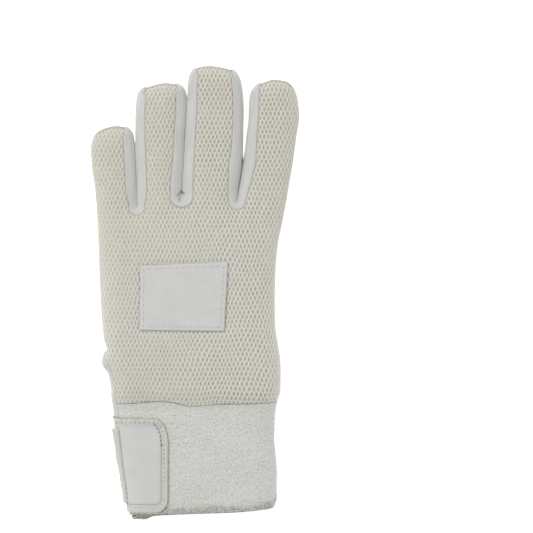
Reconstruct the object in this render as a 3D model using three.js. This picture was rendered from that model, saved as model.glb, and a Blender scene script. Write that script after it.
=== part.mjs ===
// A wicketkeeping inner glove for the left hand, lying empty on its palm with the thumb folded flat under it.
// X runs from the little finger to the index finger, Y from the mouth of the cuff to the fingertips, and Z up
// from the surface under the glove. Millimetres. Every panel is a wall that follows one rounded form: a flat
// middle and a quarter-ellipse edge along an outline, above and below the height that the lie table gives.

import * as THREE from 'three';
import { mergeVertices } from 'three/addons/utils/BufferGeometryUtils.js';

// Walls and the gap between pieces that are sewn together
const meshWall = 2.4;
const chamoisWall = 2.2;
const forkWall = 1.2;
const ventWall = 1.4;
const cuffWall = 3;
const seamGap = 0.3;

// How far a strip keeps from its seams, and how narrow it gets at its ends, in degrees round the edge
const seamMargin = 3.5;
const seamCloseMargin = 0.13;
const stripEnd = 2;

// The cuff, and the strap that is sewn to its back, goes round the little finger's side and closes on the loop
// pad under the palm. inset is how far a piece's hidden end lies from the cuff's side.
const cuffTop = 66.6;
const cuffMouth = { back: 3.4, palm: 0, indexSide: 5.3 };
const strapCloth = { wall: 1.5, low: 4.2, high: 58.6, radius: 6.9, backX: -15.4, palmX: 7.3, lift: 0.4 };
const patch = { wall: 0.7, low: 8.8, high: 53.9, radius: 3.5, inset: 3.6, endX: -19.6 };
const pad = { wall: 1.3, low: 4.6, high: 58.2, radius: 17, inset: 15, endX: 21 };
const tab = { wall: 1.2, low: 4.2, high: 58.6, radius: 5.8, inset: 14, endX: 7.3 };
const wristGussetY = { low: 3, high: 97 };

const badge = { width: 50, height: 37.5, wall: 0.6, centreX: -6, centreY: 127.6, turn: 0.02 };
const quilting = { depth: 1, reach: 4.5 };

// The panels' grids: the steps across, and those along each stretch up from the cuff
const handSteps = {
  left: -69,
  right: 69,
  columns: 28,
  wideColumns: [7, 21],
  wideBelow: 172,
  stretches: [
    { to: 172, rows: 9 }, { to: 196, rows: 5 }, { to: 214, rows: 3 }, { to: 264, rows: 9 },
  ],
};
const thumbSteps = {
  left: -54, right: 38, columns: 15, wideColumns: [15, 15], wideBelow: 0, stretches: [{ to: 151, rows: 9 }],
};
const thumbLow = 91;

// Where the seams run round the edge, in degrees above the widest line of the form, for the panel over it and
// the panel under it. side: the back is sewn to the palm. fork: a fourchette lies between them. vent: the
// elastic gusset at the wrist lies between them.
const seams = {
  side: { back: -25, palm: -25 },
  fork: { back: 57, palm: -57 },
  vent: { back: 20, palm: -20 },
};

// The outline of the laid hand, from the cuff on the little finger's side, round the fingertips, to the
// cuff on the index finger's side. It runs on past the mouth, where the panels are cut. fork and vent say how
// far the seams have opened there from the side seam, from 0 to 1.
const handOutline = [
  { x: -36.5, y: -40, vent: 1 }, { x: -37.4, y: 0, vent: 1 }, { x: -38.8, y: 15, vent: 1 },
  { x: -41.4, y: 30, vent: 1 }, { x: -44, y: 46, vent: 1 }, { x: -45.9, y: 58, vent: 1 },
  { x: -47.7, y: 67, vent: 1 }, { x: -48.8, y: 76, vent: 1 }, { x: -50, y: 83, vent: 0.9 },
  { x: -52.2, y: 90, vent: 0.5 }, { x: -52, y: 98 }, { x: -52.3, y: 104 }, { x: -53.6, y: 120 },
  { x: -54.8, y: 145 }, { x: -55.6, y: 166 }, { x: -57, y: 185 }, { x: -59, y: 202 },
  { x: -59.6, y: 213 }, { x: -58, y: 219.6 }, { x: -52.6, y: 223.7 }, { x: -45, y: 225.3 },
  { x: -39, y: 224.2, fork: 0.4 }, { x: -35.6, y: 220, fork: 0.8 }, { x: -34.8, y: 211, fork: 1 },
  { x: -34, y: 196, fork: 1 }, { x: -33.3, y: 182, fork: 1 }, { x: -32.7, y: 179.2, fork: 1 },
  { x: -32.1, y: 182, fork: 1 }, { x: -32.8, y: 196, fork: 1 }, { x: -33.5, y: 212, fork: 1 },
  { x: -34, y: 224, fork: 1 }, { x: -33.8, y: 234, fork: 1 }, { x: -33, y: 241.6, fork: 0.75 },
  { x: -30, y: 246.8, fork: 0.35 }, { x: -24, y: 249.1 }, { x: -17, y: 250.2 },
  { x: -10.6, y: 249.4, fork: 0.25 }, { x: -6.4, y: 246, fork: 0.7 }, { x: -5.2, y: 238, fork: 1 },
  { x: -6.1, y: 222, fork: 1 }, { x: -6.9, y: 206, fork: 1 }, { x: -7.8, y: 190.5, fork: 1 },
  { x: -7.3, y: 187.2, fork: 1 }, { x: -6.7, y: 190.5, fork: 1 }, { x: -5.8, y: 206, fork: 1 },
  { x: -5, y: 222, fork: 1 }, { x: -4.2, y: 237, fork: 1 }, { x: -3.8, y: 246, fork: 0.9 },
  { x: -3, y: 253, fork: 0.55 }, { x: 0.6, y: 257.8, fork: 0.15 }, { x: 8, y: 260 },
  { x: 18.2, y: 258.7, fork: 0.1 }, { x: 23.6, y: 255.6, fork: 0.4 }, { x: 26.2, y: 250, fork: 0.8 },
  { x: 27.3, y: 240, fork: 1 }, { x: 27.4, y: 228, fork: 1 }, { x: 27.1, y: 214, fork: 1 },
  { x: 26.2, y: 200, fork: 1 }, { x: 24.1, y: 186, fork: 1 }, { x: 24.2, y: 182, fork: 1 },
  { x: 25.6, y: 188, fork: 1 }, { x: 27.9, y: 204, fork: 1 }, { x: 29.4, y: 217, fork: 1 },
  { x: 30.7, y: 229, fork: 1 }, { x: 31.3, y: 238, fork: 0.9 }, { x: 33, y: 245.4, fork: 0.5 },
  { x: 37.6, y: 250.2, fork: 0.1 }, { x: 45, y: 252.2 }, { x: 52.2, y: 251.2 }, { x: 56.8, y: 247 },
  { x: 58.9, y: 240 }, { x: 59.7, y: 231 }, { x: 58.2, y: 220 }, { x: 56, y: 204 },
  { x: 53.7, y: 188 }, { x: 50.8, y: 172 }, { x: 48.1, y: 159 }, { x: 46.6, y: 145 },
  { x: 46.1, y: 128 }, { x: 46.3, y: 112 }, { x: 47.8, y: 101 }, { x: 49.3, y: 91 },
  { x: 49.5, y: 82 }, { x: 48.6, y: 73.5 }, { x: 46.8, y: 67 }, { x: 45.8, y: 58 },
  { x: 45.8, y: 46 }, { x: 46.6, y: 34 }, { x: 46.6, y: 18 }, { x: 45.6, y: 4 }, { x: 44, y: -40 },
];

// How the hand lies at each distance from the mouth: the height of its widest line, how far it stands above
// and below that, the width of its rounded edge, and how much its back is crowned.
const handLie = [
  { y: -60, middle: 14.6, upper: 9.4, lower: 9.4, edge: 13, crown: 0 },
  { y: 0, middle: 14.6, upper: 9.4, lower: 9.4, edge: 13, crown: 0 },
  { y: 62, middle: 14.6, upper: 9.4, lower: 9.4, edge: 13, crown: 0 },
  { y: 67, middle: 15, upper: 9.8, lower: 9.4, edge: 13, crown: 0 },
  { y: 76, middle: 16.6, upper: 11.2, lower: 9.6, edge: 13, crown: 0.6 },
  { y: 92, middle: 18.8, upper: 10.8, lower: 9.4, edge: 13, crown: 1.4 },
  { y: 112, middle: 20, upper: 10, lower: 9.5, edge: 13, crown: 2 },
  { y: 140, middle: 20, upper: 9.4, lower: 9.4, edge: 13, crown: 2 },
  { y: 160, middle: 19.2, upper: 9, lower: 9, edge: 12.5, crown: 1.4 },
  { y: 180, middle: 16.6, upper: 8.4, lower: 8.4, edge: 12, crown: 0.4 },
  { y: 200, middle: 13.2, upper: 8, lower: 8, edge: 12, crown: 0 },
  { y: 222, middle: 10, upper: 7.7, lower: 7.7, edge: 12, crown: 0 },
  { y: 244, middle: 7.8, upper: 7.5, lower: 7.5, edge: 12, crown: 0 },
  { y: 290, middle: 7.4, upper: 7.4, lower: 7.4, edge: 12, crown: 0 },
];
const crownMiddleX = -3;
const crownHalfWidth = 54;

// The thumb as it is folded under the palm, from its upper side at the base, round the tip, to its lower side.
// It runs on past the base, where its panels are cut.
const thumbOutline = [
  { x: 60, y: 148.5 }, { x: 28, y: 147.2 },
  { x: 0, y: 146.4 }, { x: -24, y: 144.2 },
  { x: -38, y: 140.4 }, { x: -46, y: 133.6 },
  { x: -48.4, y: 125.4 }, { x: -46, y: 117.2 },
  { x: -38, y: 110 }, { x: -24, y: 104.6 },
  { x: 0, y: 98.4 }, { x: 20, y: 94.8 },
  { x: 34, y: 93.6 }, { x: 60, y: 93 },
];
const thumbLie = [
  { y: 60, middle: 4.9, upper: 4.6, lower: 4.9, edge: 9, crown: 0 },
  { y: 180, middle: 4.9, upper: 4.6, lower: 4.9, edge: 9, crown: 0 },
];
const thumbWall = 1.6;
const thumbBack = { highX: 27, highY: 147, lowX: 32.4, lowY: 94 };
const thumbFrontX = 19;
const thumbFrontGap = 0.4;

// The hole in the palm over the thumb's base, and the welt of chamois that joins the thumb to it.
const thumbHole = { x: 29, y: 121, halfX: 8, halfY: 23 };
const weltWall = 1.4;
const weltRows = 22;
const weltRoofGap = 0.4;
const weltPath = [
  { x: 20, y: 149.4, foot: 0 }, { x: 27, y: 149.6, foot: 0 }, { x: 34, y: 147.6, foot: 0.5 },
  { x: 37.8, y: 140, foot: 1 }, { x: 39, y: 122, foot: 1 }, { x: 39.4, y: 106, foot: 0.9 },
  { x: 38.4, y: 97, foot: 0.5 }, { x: 31, y: 90.8, foot: 0 }, { x: 20, y: 91, foot: 0 },
];
// Its section, from the edge that meets the thumb's back to the lip under the palm: reach is measured inwards
// from the path, and rise is a share of the height under the palm. Where it has a foot it reaches the surface
// under the glove, and at its ends it only stands on the thumb's side seams.
const weltSection = [
  { footReach: 5.8, footRise: 0.02, endReach: 0.9, endRise: 0.52 },
  { footReach: 3, footRise: 0.01, endReach: 0.6, endRise: 0.58 },
  { footReach: 0.6, footRise: 0.22, endReach: 0.3, endRise: 0.66 },
  { footReach: 0, footRise: 0.52, endReach: 0.1, endRise: 0.75 },
  { footReach: 0.8, footRise: 0.82, endReach: 0.4, endRise: 0.88 },
  { footReach: 3.2, footRise: 1, endReach: 1.6, endRise: 1 },
];

// The sewn lines of the padded palm: each crosses one finger, or the whole palm.
const fingerQuilts = [
  { finger: 'little', left: [-60, 186], right: [-33, 187] },
  { finger: 'little', left: [-60, 204], right: [-33, 205] },
  { finger: 'ring', left: [-33, 200], right: [-6, 201] },
  { finger: 'ring', left: [-33, 221], right: [-6, 222] },
  { finger: 'middle', left: [-6, 204], right: [27, 205] },
  { finger: 'middle', left: [-6, 227], right: [27, 226] },
  { finger: 'index', left: [27, 211], right: [60, 208] },
  { finger: 'index', left: [27, 232], right: [60, 229] },
];
const fingerSlots = { little: [-70, -33], ring: [-33, -6], middle: [-6, 26.5], index: [26.5, 70] };
const palmQuilt = [
  { x: -60, y: 160 }, { x: -24, y: 162 }, { x: 2, y: 166.5 }, { x: 16, y: 170 }, { x: 30, y: 176 }, { x: 60, y: 177 },
];
const crotchY = 180;

// A fourchette runs along the outline between two fingertips: where each starts and ends, and the lowest that
// it reaches
const forks = { littleRing: [-41, -30.3], ringMiddle: [-12, -1], middleIndex: [23, 36], lowY: 170 };

const materials = {
  mesh: new THREE.MeshStandardMaterial({ color: 0xd6d3c7, roughness: 0.9, metalness: 0 }),
  chamois: new THREE.MeshStandardMaterial({ color: 0xd8cbb0, roughness: 0.95, metalness: 0 }),
  fork: new THREE.MeshStandardMaterial({ color: 0xd3d5d4, roughness: 0.6, metalness: 0 }),
  towelling: new THREE.MeshStandardMaterial({ color: 0xd5d7d3, roughness: 1, metalness: 0 }),
  strap: new THREE.MeshStandardMaterial({ color: 0xd9dad6, roughness: 0.85, metalness: 0 }),
  vinyl: new THREE.MeshStandardMaterial({ color: 0xdcdcdc, roughness: 0.45, metalness: 0 }),
  loop: new THREE.MeshStandardMaterial({ color: 0xcfcaba, roughness: 1, metalness: 0 }),
};

const degrees = Math.PI / 180;

// The longest step along a sampled outline. A short span between rows turns tightly, and is cut into more parts.
const outlineStep = 6.5;
const tightSpan = 4;
const tightParts = 4;

// Smooth curves through tables

// The slope at row i of a table whose rows stand at the distances in at. It is level where the rows turn back,
// so that a curve never passes its rows.
function slope(values, at, i) {
  const last = values.length - 1;
  if (i === 0) return (values[1] - values[0]) / (at[1] - at[0]);
  if (i === last) return (values[last] - values[last - 1]) / (at[last] - at[last - 1]);
  const before = at[i] - at[i - 1];
  const after = at[i + 1] - at[i];
  const slopeBefore = (values[i] - values[i - 1]) / before;
  const slopeAfter = (values[i + 1] - values[i]) / after;
  if (slopeBefore * slopeAfter <= 0) return 0;
  const weightBefore = 2 * after + before;
  const weightAfter = after + 2 * before;
  return (weightBefore + weightAfter) / (weightBefore / slopeBefore + weightAfter / slopeAfter);
}

// The value of a column at a distance, on a smooth curve through the rows.
function smoothValue(values, at, distance) {
  const last = values.length - 1;
  if (distance <= at[0]) return values[0];
  if (distance >= at[last]) return values[last];
  let i = 0;
  while (at[i + 1] < distance) i += 1;
  const span = at[i + 1] - at[i];
  const t = (distance - at[i]) / span;
  const start = slope(values, at, i) * span;
  const end = slope(values, at, i + 1) * span;
  const rise = values[i + 1] - values[i];
  return values[i] + t * (start + t * (3 * rise - 2 * start - end + t * (start + end - 2 * rise)));
}

function chords(rows) {
  const at = [0];
  for (let i = 1; i < rows.length; i += 1) {
    at.push(at[i - 1] + Math.hypot(rows[i].x - rows[i - 1].x, rows[i].y - rows[i - 1].y));
  }
  return at;
}

// Points on the smooth curve through an outline, each with the angles of the seams and the way inwards there.
function sampleOutline(rows) {
  const at = chords(rows);
  const xs = rows.map((row) => row.x);
  const ys = rows.map((row) => row.y);
  const points = [];
  for (let i = 0; i + 1 < rows.length; i += 1) {
    const span = at[i + 1] - at[i];
    const parts = span < tightSpan ? tightParts : Math.max(2, Math.round(span / outlineStep));
    for (let k = 0; k < parts; k += 1) {
      const t = k / parts;
      const distance = at[i] + t * (at[i + 1] - at[i]);
      const share = (name) => THREE.MathUtils.lerp(rows[i][name] ?? 0, rows[i + 1][name] ?? 0, t);
      points.push({
        x: smoothValue(xs, at, distance),
        y: smoothValue(ys, at, distance),
        ...seamAngles(share('fork'), share('vent')),
      });
    }
  }
  points.push({ ...rows.at(-1), ...seamAngles(rows.at(-1).fork ?? 0, rows.at(-1).vent ?? 0) });
  return points.map((point, i) => {
    const before = points[Math.max(i - 1, 0)];
    const after = points[Math.min(i + 1, points.length - 1)];
    const long = Math.hypot(after.x - before.x, after.y - before.y);
    return { ...point, inX: (after.y - before.y) / long, inY: -(after.x - before.x) / long };
  });
}

function seamAngles(fork, vent) {
  const angle = (name) => {
    const opened = fork * (seams.fork[name] - seams.side[name]) + vent * (seams.vent[name] - seams.side[name]);
    return seams.side[name] + opened;
  };
  return { back: angle('back'), palm: angle('palm') };
}

function makeForm(outline, lie) {
  return { outline: sampleOutline(outline), lie, at: lie.map((row) => row.y) };
}

function lieAt(form, y) {
  const row = {};
  for (const column of ['middle', 'upper', 'lower', 'edge', 'crown']) {
    row[column] = smoothValue(form.lie.map((r) => r[column]), form.at, y);
  }
  return row;
}

// The rounded form

// The nearest point of the outline: its place, the way inwards, the distance inside it, and its seams.
function nearestEdge(form, x, y) {
  const points = form.outline;
  let best = null;
  let inside = false;
  for (let i = 0; i < points.length; i += 1) {
    const a = points[i];
    const b = points[(i + 1) % points.length];
    if (a.y > y !== b.y > y && x < a.x + ((y - a.y) / (b.y - a.y)) * (b.x - a.x)) inside = !inside;
    if (i + 1 === points.length) break;
    const length2 = (b.x - a.x) ** 2 + (b.y - a.y) ** 2;
    const t = THREE.MathUtils.clamp(((x - a.x) * (b.x - a.x) + (y - a.y) * (b.y - a.y)) / length2, 0, 1);
    const footX = a.x + t * (b.x - a.x);
    const footY = a.y + t * (b.y - a.y);
    const distance = Math.hypot(x - footX, y - footY);
    if (!best || distance < best.distance) best = { a, b, t, footX, footY, distance };
  }
  const { a, b, t, footX, footY, distance } = best;
  const along = Math.hypot(b.x - a.x, b.y - a.y);
  const sign = inside ? 1 : -1;
  const direct = distance > 1e-6;
  return {
    x: footX,
    y: footY,
    inX: direct ? (sign * (x - footX)) / distance : (b.y - a.y) / along,
    inY: direct ? (sign * (y - footY)) / distance : -(b.x - a.x) / along,
    inside: sign * distance,
    back: THREE.MathUtils.lerp(a.back, b.back, t),
    palm: THREE.MathUtils.lerp(a.palm, b.palm, t),
  };
}

// Cloth that lies flat on the form has to turn down its quarter-ellipse edge. arc is that edge's length,
// and turn blends from the flat stretch's scale to the arc's.
function edgeArc(lie) {
  const a = lie.edge;
  const b = (lie.upper + lie.lower) / 2;
  const arc = (Math.PI / 4) * (3 * (a + b) - Math.sqrt((3 * a + b) * (a + 3 * b)));
  return { arc, turn: arc / (a * (Math.PI / 2)) };
}

function angleAtInset(inset, lie) {
  const { arc, turn } = edgeArc(lie);
  const t = (lie.edge - inset) / arc;
  return (Math.PI / 2) * (1 - (turn * t + (1 - turn) * t * t));
}

function insetAtAngle(angle, lie) {
  const { arc, turn } = edgeArc(lie);
  const share = 1 - angle / (Math.PI / 2);
  const t = (Math.sqrt(turn * turn + 4 * (1 - turn) * share) - turn) / (2 * (1 - turn));
  return lie.edge - arc * t;
}

// A point on the form's edge, at an angle above its widest line and a depth under the surface.
function pointOnEdge(form, foot, angle, depth) {
  const edge = lieAt(form, foot.y).edge;
  const inset = edge - (edge - depth) * Math.cos(angle);
  const x = foot.x + foot.inX * inset;
  const y = foot.y + foot.inY * inset;
  const lie = lieAt(form, y);
  const half = (angle > 0 ? lie.upper : lie.lower) - depth;
  return new THREE.Vector3(x, y, lie.middle + half * Math.sin(angle) + crownAt(x, lie, angle));
}

function crownAt(x, lie, angle) {
  if (angle <= 0) return 0;
  return lie.crown * Math.sin(angle) * (1 - ((x - crownMiddleX) / crownHalfWidth) ** 2);
}

// The point of the form under a point of flat cloth, on the back (face 1) or the palm (face -1).
function place(form, u, v, face, depth) {
  const foot = nearestEdge(form, u, v);
  const lie = lieAt(form, v);
  if (foot.inside < lie.edge) {
    return pointOnEdge(form, foot, face * angleAtInset(foot.inside, lie), depth);
  }
  const half = (face > 0 ? lie.upper : lie.lower) - depth;
  return new THREE.Vector3(u, v, lie.middle + face * half + crownAt(u, lie, (face * Math.PI) / 2));
}

// Closed walls

// A closed mesh from its corners and faces, turned to face outwards.
function closedGeometry(corners, faces) {
  let volume = 0;
  for (const [a, b, c] of faces) {
    volume += corners[a].dot(new THREE.Vector3().crossVectors(corners[b], corners[c]));
  }
  const index = faces.flatMap(([a, b, c]) => (volume < 0 ? [a, c, b] : [a, b, c]));
  const geometry = new THREE.BufferGeometry().setFromPoints(corners);
  geometry.setIndex(index);
  const merged = mergeVertices(geometry, 1e-4);
  merged.computeVertexNormals();
  return merged;
}

// A wall between two grids of points with the same rows and columns.
function wallBetween(outer, inner) {
  const columns = outer[0].length;
  const half = outer.length * columns;
  const corners = [...outer.flat(), ...inner.flat()];
  const faces = [];
  const quad = (a, b, c, d) => faces.push([a, b, c], [a, c, d]);
  for (let i = 0; i + 1 < outer.length; i += 1) {
    for (let j = 0; j + 1 < columns; j += 1) {
      const a = i * columns + j;
      const c = a + columns;
      quad(a, a + 1, c + 1, c);
      quad(half + a, half + c, half + c + 1, half + a + 1);
    }
    const left = i * columns;
    const right = left + columns - 1;
    quad(left, left + columns, half + left + columns, half + left);
    quad(right, half + right, half + right + columns, right + columns);
  }
  for (let j = 0; j + 1 < columns; j += 1) {
    const end = (outer.length - 1) * columns + j;
    quad(j, half + j, half + j + 1, j + 1);
    quad(end, end + 1, half + end + 1, half + end);
  }
  return closedGeometry(corners, faces);
}

// Both grids of a wall from one function of row, column and depth.
function wallOf(rows, columns, pointAt, outerDepth, wall) {
  const grid = (depth) => rows.map((row) => columns.map((column) => pointAt(row, column, depth)));
  return wallBetween(grid(outerDepth), grid(outerDepth + wall));
}

function steps(from, to, count) {
  return Array.from({ length: count + 1 }, (_, i) => from + ((to - from) * i) / count);
}

// Flat cloth cut to a pattern

// Splits a polygon where a field of the plane changes sign, and keeps the side where it is positive.
function cutPolygon(polygon, field) {
  const kept = [];
  polygon.forEach((here, i) => {
    const next = polygon[(i + 1) % polygon.length];
    const valueHere = field(here.u, here.v);
    const valueNext = field(next.u, next.v);
    if (valueHere >= 0) kept.push(here);
    if (valueHere >= 0 !== valueNext >= 0) kept.push(crossing(here, next, valueHere, valueNext));
  });
  return kept;
}

function crossing(p, q, valueP, valueQ) {
  const swap = p.u > q.u || (p.u === q.u && p.v > q.v);
  const [a, b, atA, atB] = swap ? [q, p, valueQ, valueP] : [p, q, valueP, valueQ];
  const t = atA / (atA - atB);
  return { u: a.u + t * (b.u - a.u), v: a.v + t * (b.v - a.v) };
}

// A grid of triangles over a stretch of the plane, cut by each field in turn and scored by each crease.
function patternPolygons(grid, low, cuts, creases) {
  const across = steps(grid.left, grid.right, grid.columns);
  const along = [low];
  for (const { to, rows } of grid.stretches) along.push(...steps(along.at(-1), to, rows).slice(1));
  const [wideFrom, wideTo] = grid.wideColumns;
  const isWide = (i, j) => i >= wideFrom && i < wideTo && j >= 0 && along[j + 1] <= grid.wideBelow;
  let polygons = [];
  for (let j = 0; j + 1 < along.length; j += 1) {
    for (let i = 0; i + 1 < across.length; i += 1) {
      const corner = (di, dj) => ({ u: across[i + di], v: along[j + dj] });
      const [a, b, c, d] = [corner(0, 0), corner(1, 0), corner(1, 1), corner(0, 1)];
      if (isWide(i, j)) {
        if ((i - wideFrom) % 2 === 1) continue;
        const top = isWide(i, j + 1) ? [] : [corner(1, 1)];
        polygons.push([a, corner(2, 0), corner(2, 1), ...top, d]);
      } else if ((i + j) % 2 === 0) {
        polygons.push([a, b, c], [a, c, d]);
      } else {
        polygons.push([a, b, d], [b, c, d]);
      }
    }
  }
  for (const cut of cuts) polygons = polygons.map((p) => cutPolygon(p, cut)).filter((p) => p.length > 2);
  for (const crease of creases) {
    polygons = polygons.flatMap((polygon) => {
      if (!crease.holds(polygon)) return [polygon];
      const over = cutPolygon(polygon, crease.field);
      const under = cutPolygon(polygon, (u, v) => -crease.field(u, v));
      return [over, under].filter((p) => p.length > 2);
    });
  }
  return polygons;
}

// A wall of cloth cut to a pattern, between two surfaces of the form.
function patternWall(polygons, outerAt, innerAt) {
  const flat = [];
  const numbers = new Map();
  const number = ({ u, v }) => {
    const key = `${Math.round(u * 500)},${Math.round(v * 500)}`;
    if (!numbers.has(key)) numbers.set(key, flat.push({ u, v }) - 1);
    return numbers.get(key);
  };
  const triangles = [];
  for (const polygon of polygons) {
    const ring = polygon.map(number).filter((n, i, all) => n !== all[(i + 1) % all.length]);
    for (let i = 1; i + 1 < ring.length; i += 1) triangles.push([ring[0], ring[i], ring[i + 1]]);
  }
  const count = flat.length;
  const corners = [...flat.map(({ u, v }) => outerAt(u, v)), ...flat.map(({ u, v }) => innerAt(u, v))];
  const faces = [];
  const sides = new Map();
  for (const [a, b, c] of triangles) {
    faces.push([a, b, c], [count + a, count + c, count + b]);
    for (const [p, q] of [[a, b], [b, c], [c, a]]) {
      if (!sides.delete(`${q},${p}`)) sides.set(`${p},${q}`, [p, q]);
    }
  }
  for (const [p, q] of sides.values()) faces.push([q, p, count + p], [q, count + p, count + q]);
  return closedGeometry(corners, faces);
}

const hand = makeForm(handOutline, handLie);
const thumb = makeForm(thumbOutline, thumbLie);

// How far inside its seam a point of a panel lies, in millimetres of cloth.
function insideSeam(form, u, v, face) {
  const foot = nearestEdge(form, u, v);
  const seamAngle = (face > 0 ? foot.back : -foot.palm) * degrees;
  return foot.inside - insetAtAngle(seamAngle, lieAt(form, v)) - seamGap / 2;
}

function aboveCuff(u, v) {
  return v - cuffTop - seamGap;
}

function outsideHole(u, v) {
  const reach = Math.hypot((u - thumbHole.x) / thumbHole.halfX, (v - thumbHole.y) / thumbHole.halfY);
  return (reach - 1) * thumbHole.halfX;
}

// Quilting

function quiltField({ left, right }) {
  const run = (right[1] - left[1]) / (right[0] - left[0]);
  return (u, v) => v - left[1] - run * (u - left[0]);
}

function palmQuiltField(u, v) {
  return v - smoothValue(palmQuilt.map((row) => row.y), palmQuilt.map((row) => row.x), u);
}

const creases = fingerQuilts.map((quilt) => {
  const [low, high] = fingerSlots[quilt.finger];
  const holds = (polygon) => {
    const u = polygon.reduce((sum, p) => sum + p.u, 0) / polygon.length;
    const v = polygon.reduce((sum, p) => sum + p.v, 0) / polygon.length;
    return v > crotchY && u > low && u < high;
  };
  return { field: quiltField(quilt), holds };
});
creases.push({ field: palmQuiltField, holds: () => true });

// How deep the palm is drawn in by the sewn lines near a point.
function quiltAt(u, v) {
  const lines = fingerQuilts.filter(({ finger }) => {
    const [low, high] = fingerSlots[finger];
    return v > crotchY && u > low && u < high;
  });
  const gaps = [palmQuiltField(u, v), ...lines.map((line) => quiltField(line)(u, v))].map(Math.abs);
  return quilting.depth * Math.max(0, 1 - Math.min(...gaps) / quilting.reach);
}

// The pieces

function backPanel() {
  const cuts = [(u, v) => insideSeam(hand, u, v, 1), aboveCuff];
  const polygons = patternPolygons(handSteps, cuffTop, cuts, []);
  return patternWall(
    polygons,
    (u, v) => place(hand, u, v, 1, 0),
    (u, v) => place(hand, u, v, 1, meshWall),
  );
}

function palmPanel() {
  const cuts = [(u, v) => insideSeam(hand, u, v, -1), aboveCuff, outsideHole];
  const polygons = patternPolygons(handSteps, cuffTop, cuts, creases);
  return patternWall(
    polygons,
    (u, v) => place(hand, u, v, -1, quiltAt(u, v)),
    (u, v) => place(hand, u, v, -1, chamoisWall),
  );
}

// A strip along part of the outline, between the seams of the back and the palm. It keeps further from them as
// they close on each other, and ends where they leave it no width.
function edgeStrip(points, seam, columns, wall) {
  const apart = (point) => point.back - point.palm;
  const full = seams[seam].back - seams[seam].palm;
  const margin = (point) => seamMargin + seamCloseMargin * (full - apart(point));
  const rows = points.filter((point) => apart(point) - 2 * margin(point) > stripEnd);
  return wallOf(rows, columns, (foot, share, depth) => {
    const angle = THREE.MathUtils.lerp(foot.palm + margin(foot), foot.back - margin(foot), share);
    return pointOnEdge(hand, foot, angle * degrees, depth);
  }, 0, wall);
}

function fourchette([fromX, toX]) {
  const points = hand.outline.filter(({ x, y }) => y > forks.lowY && x > fromX && x < toX);
  return edgeStrip(points, 'fork', steps(0, 1, 4), forkWall);
}

function wristGusset() {
  const points = hand.outline.filter(({ x, y }) => x < 0 && y > wristGussetY.low && y < wristGussetY.high);
  return edgeStrip(points, 'vent', steps(0, 1, 2), ventWall);
}

// The outline's place on the little finger's side (side -1) or the index finger's side (side 1).
function outlineX(y, side) {
  const points = hand.outline.filter((point) => point.y < wristGussetY.high && Math.sign(point.x) === side);
  points.sort((p, q) => p.y - q.y);
  return smoothValue(points.map((p) => p.x), points.map((p) => p.y), y);
}

// A point of a band round the wrist. around runs from the little finger's side over the back (0 to 1)
// and home under the palm (1 to 2).
function wristPoint(y, around, fromAngle, depth) {
  const lie = lieAt(hand, y);
  const left = outlineX(y, -1) + insetAtAngle(fromAngle * degrees, lie);
  const right = outlineX(y, 1) - insetAtAngle(0, lie);
  const share = around <= 1 ? around : 2 - around;
  const face = around <= 1 ? 1 : -1;
  return place(hand, left + (right - left) * share, y, face, depth);
}

function cuff() {
  const shares = [0, 0.045, 0.09, 0.14, 0.3, 0.5, 0.7, 0.84, 0.885, 0.93, 0.965, 1];
  const around = [...shares, ...shares.slice(0, -1).reverse().map((share) => 2 - share)];
  const angle = seams.vent.back + 2;
  const rows = steps(0, 1, 6);
  return wallOf(rows, around, (row, share, depth) => {
    const across = Math.min(share, 2 - share);
    const mouth = THREE.MathUtils.lerp(share > 1 ? cuffMouth.palm : cuffMouth.back, cuffMouth.indexSide, across);
    return wristPoint(THREE.MathUtils.lerp(mouth, cuffTop, row), share, angle, depth);
  }, 0, cuffWall);
}

// How far a piece's round corners draw back its end at a place across its width.
function cornerDraw(y, { low, high, radius }) {
  const beyond = Math.max(low + radius - y, y - high + radius, 0);
  return radius - Math.sqrt(Math.max(radius * radius - beyond * beyond, 0));
}

// Rows across a piece, closer together in its round corners.
function cornerRows({ low, high, radius }, inCorner, between) {
  const corner = steps(0, 1, inCorner).map((share) => radius * (1 - Math.cos((share * Math.PI) / 2)));
  const middle = steps(low + radius, high - radius, between).slice(1, -1);
  return [...corner.map((y) => low + y), ...middle, ...corner.reverse().map((y) => high - y)];
}

// A point of the strap: across the back from its end (0) to the widest line of the edge (1), or the same
// under the palm. It lies flat as far as turnX.
function strapPoint(y, endX, share, face, depth) {
  const edgeX = outlineX(y, -1);
  const turnX = edgeX + lieAt(hand, y).edge + 1.5;
  const widestX = edgeX + insetAtAngle(0, lieAt(hand, y));
  const flat = 0.35;
  const u = share < flat
    ? THREE.MathUtils.lerp(endX, turnX, share / flat)
    : THREE.MathUtils.lerp(turnX, widestX, (share - flat) / (1 - flat));
  return place(hand, u, y, face, depth);
}

function strap() {
  const shares = [0, 0.18, 0.35, 0.48, 0.61, 0.74, 0.87, 1];
  const around = [...shares, ...shares.slice(0, -1).reverse().map((share) => 2 - share)];
  return wallOf(cornerRows(strapCloth, 2, 2), around, (y, spot, depth) => {
    const draw = cornerDraw(y, strapCloth);
    if (spot <= 1) return strapPoint(y, strapCloth.backX - draw, spot, 1, depth);
    const overPad = THREE.MathUtils.smoothstep(spot, 1.2, 1.6) * (pad.wall + seamGap);
    return strapPoint(y, strapCloth.palmX - draw, 2 - spot, -1, depth - overPad);
  }, -strapCloth.lift - strapCloth.wall, strapCloth.wall);
}

// A piece that lies flat on the back or under the palm, from near the cuff's side to its round-cornered end.
function sidePlate(plate, rows, columns, face, lift) {
  return wallOf(rows, steps(0, 1, columns), (y, share, depth) => {
    const u = THREE.MathUtils.lerp(outlineX(y, -1) + plate.inset, plate.endX - cornerDraw(y, plate), share);
    return place(hand, u, y, face, depth);
  }, -lift - plate.wall, plate.wall);
}

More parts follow.
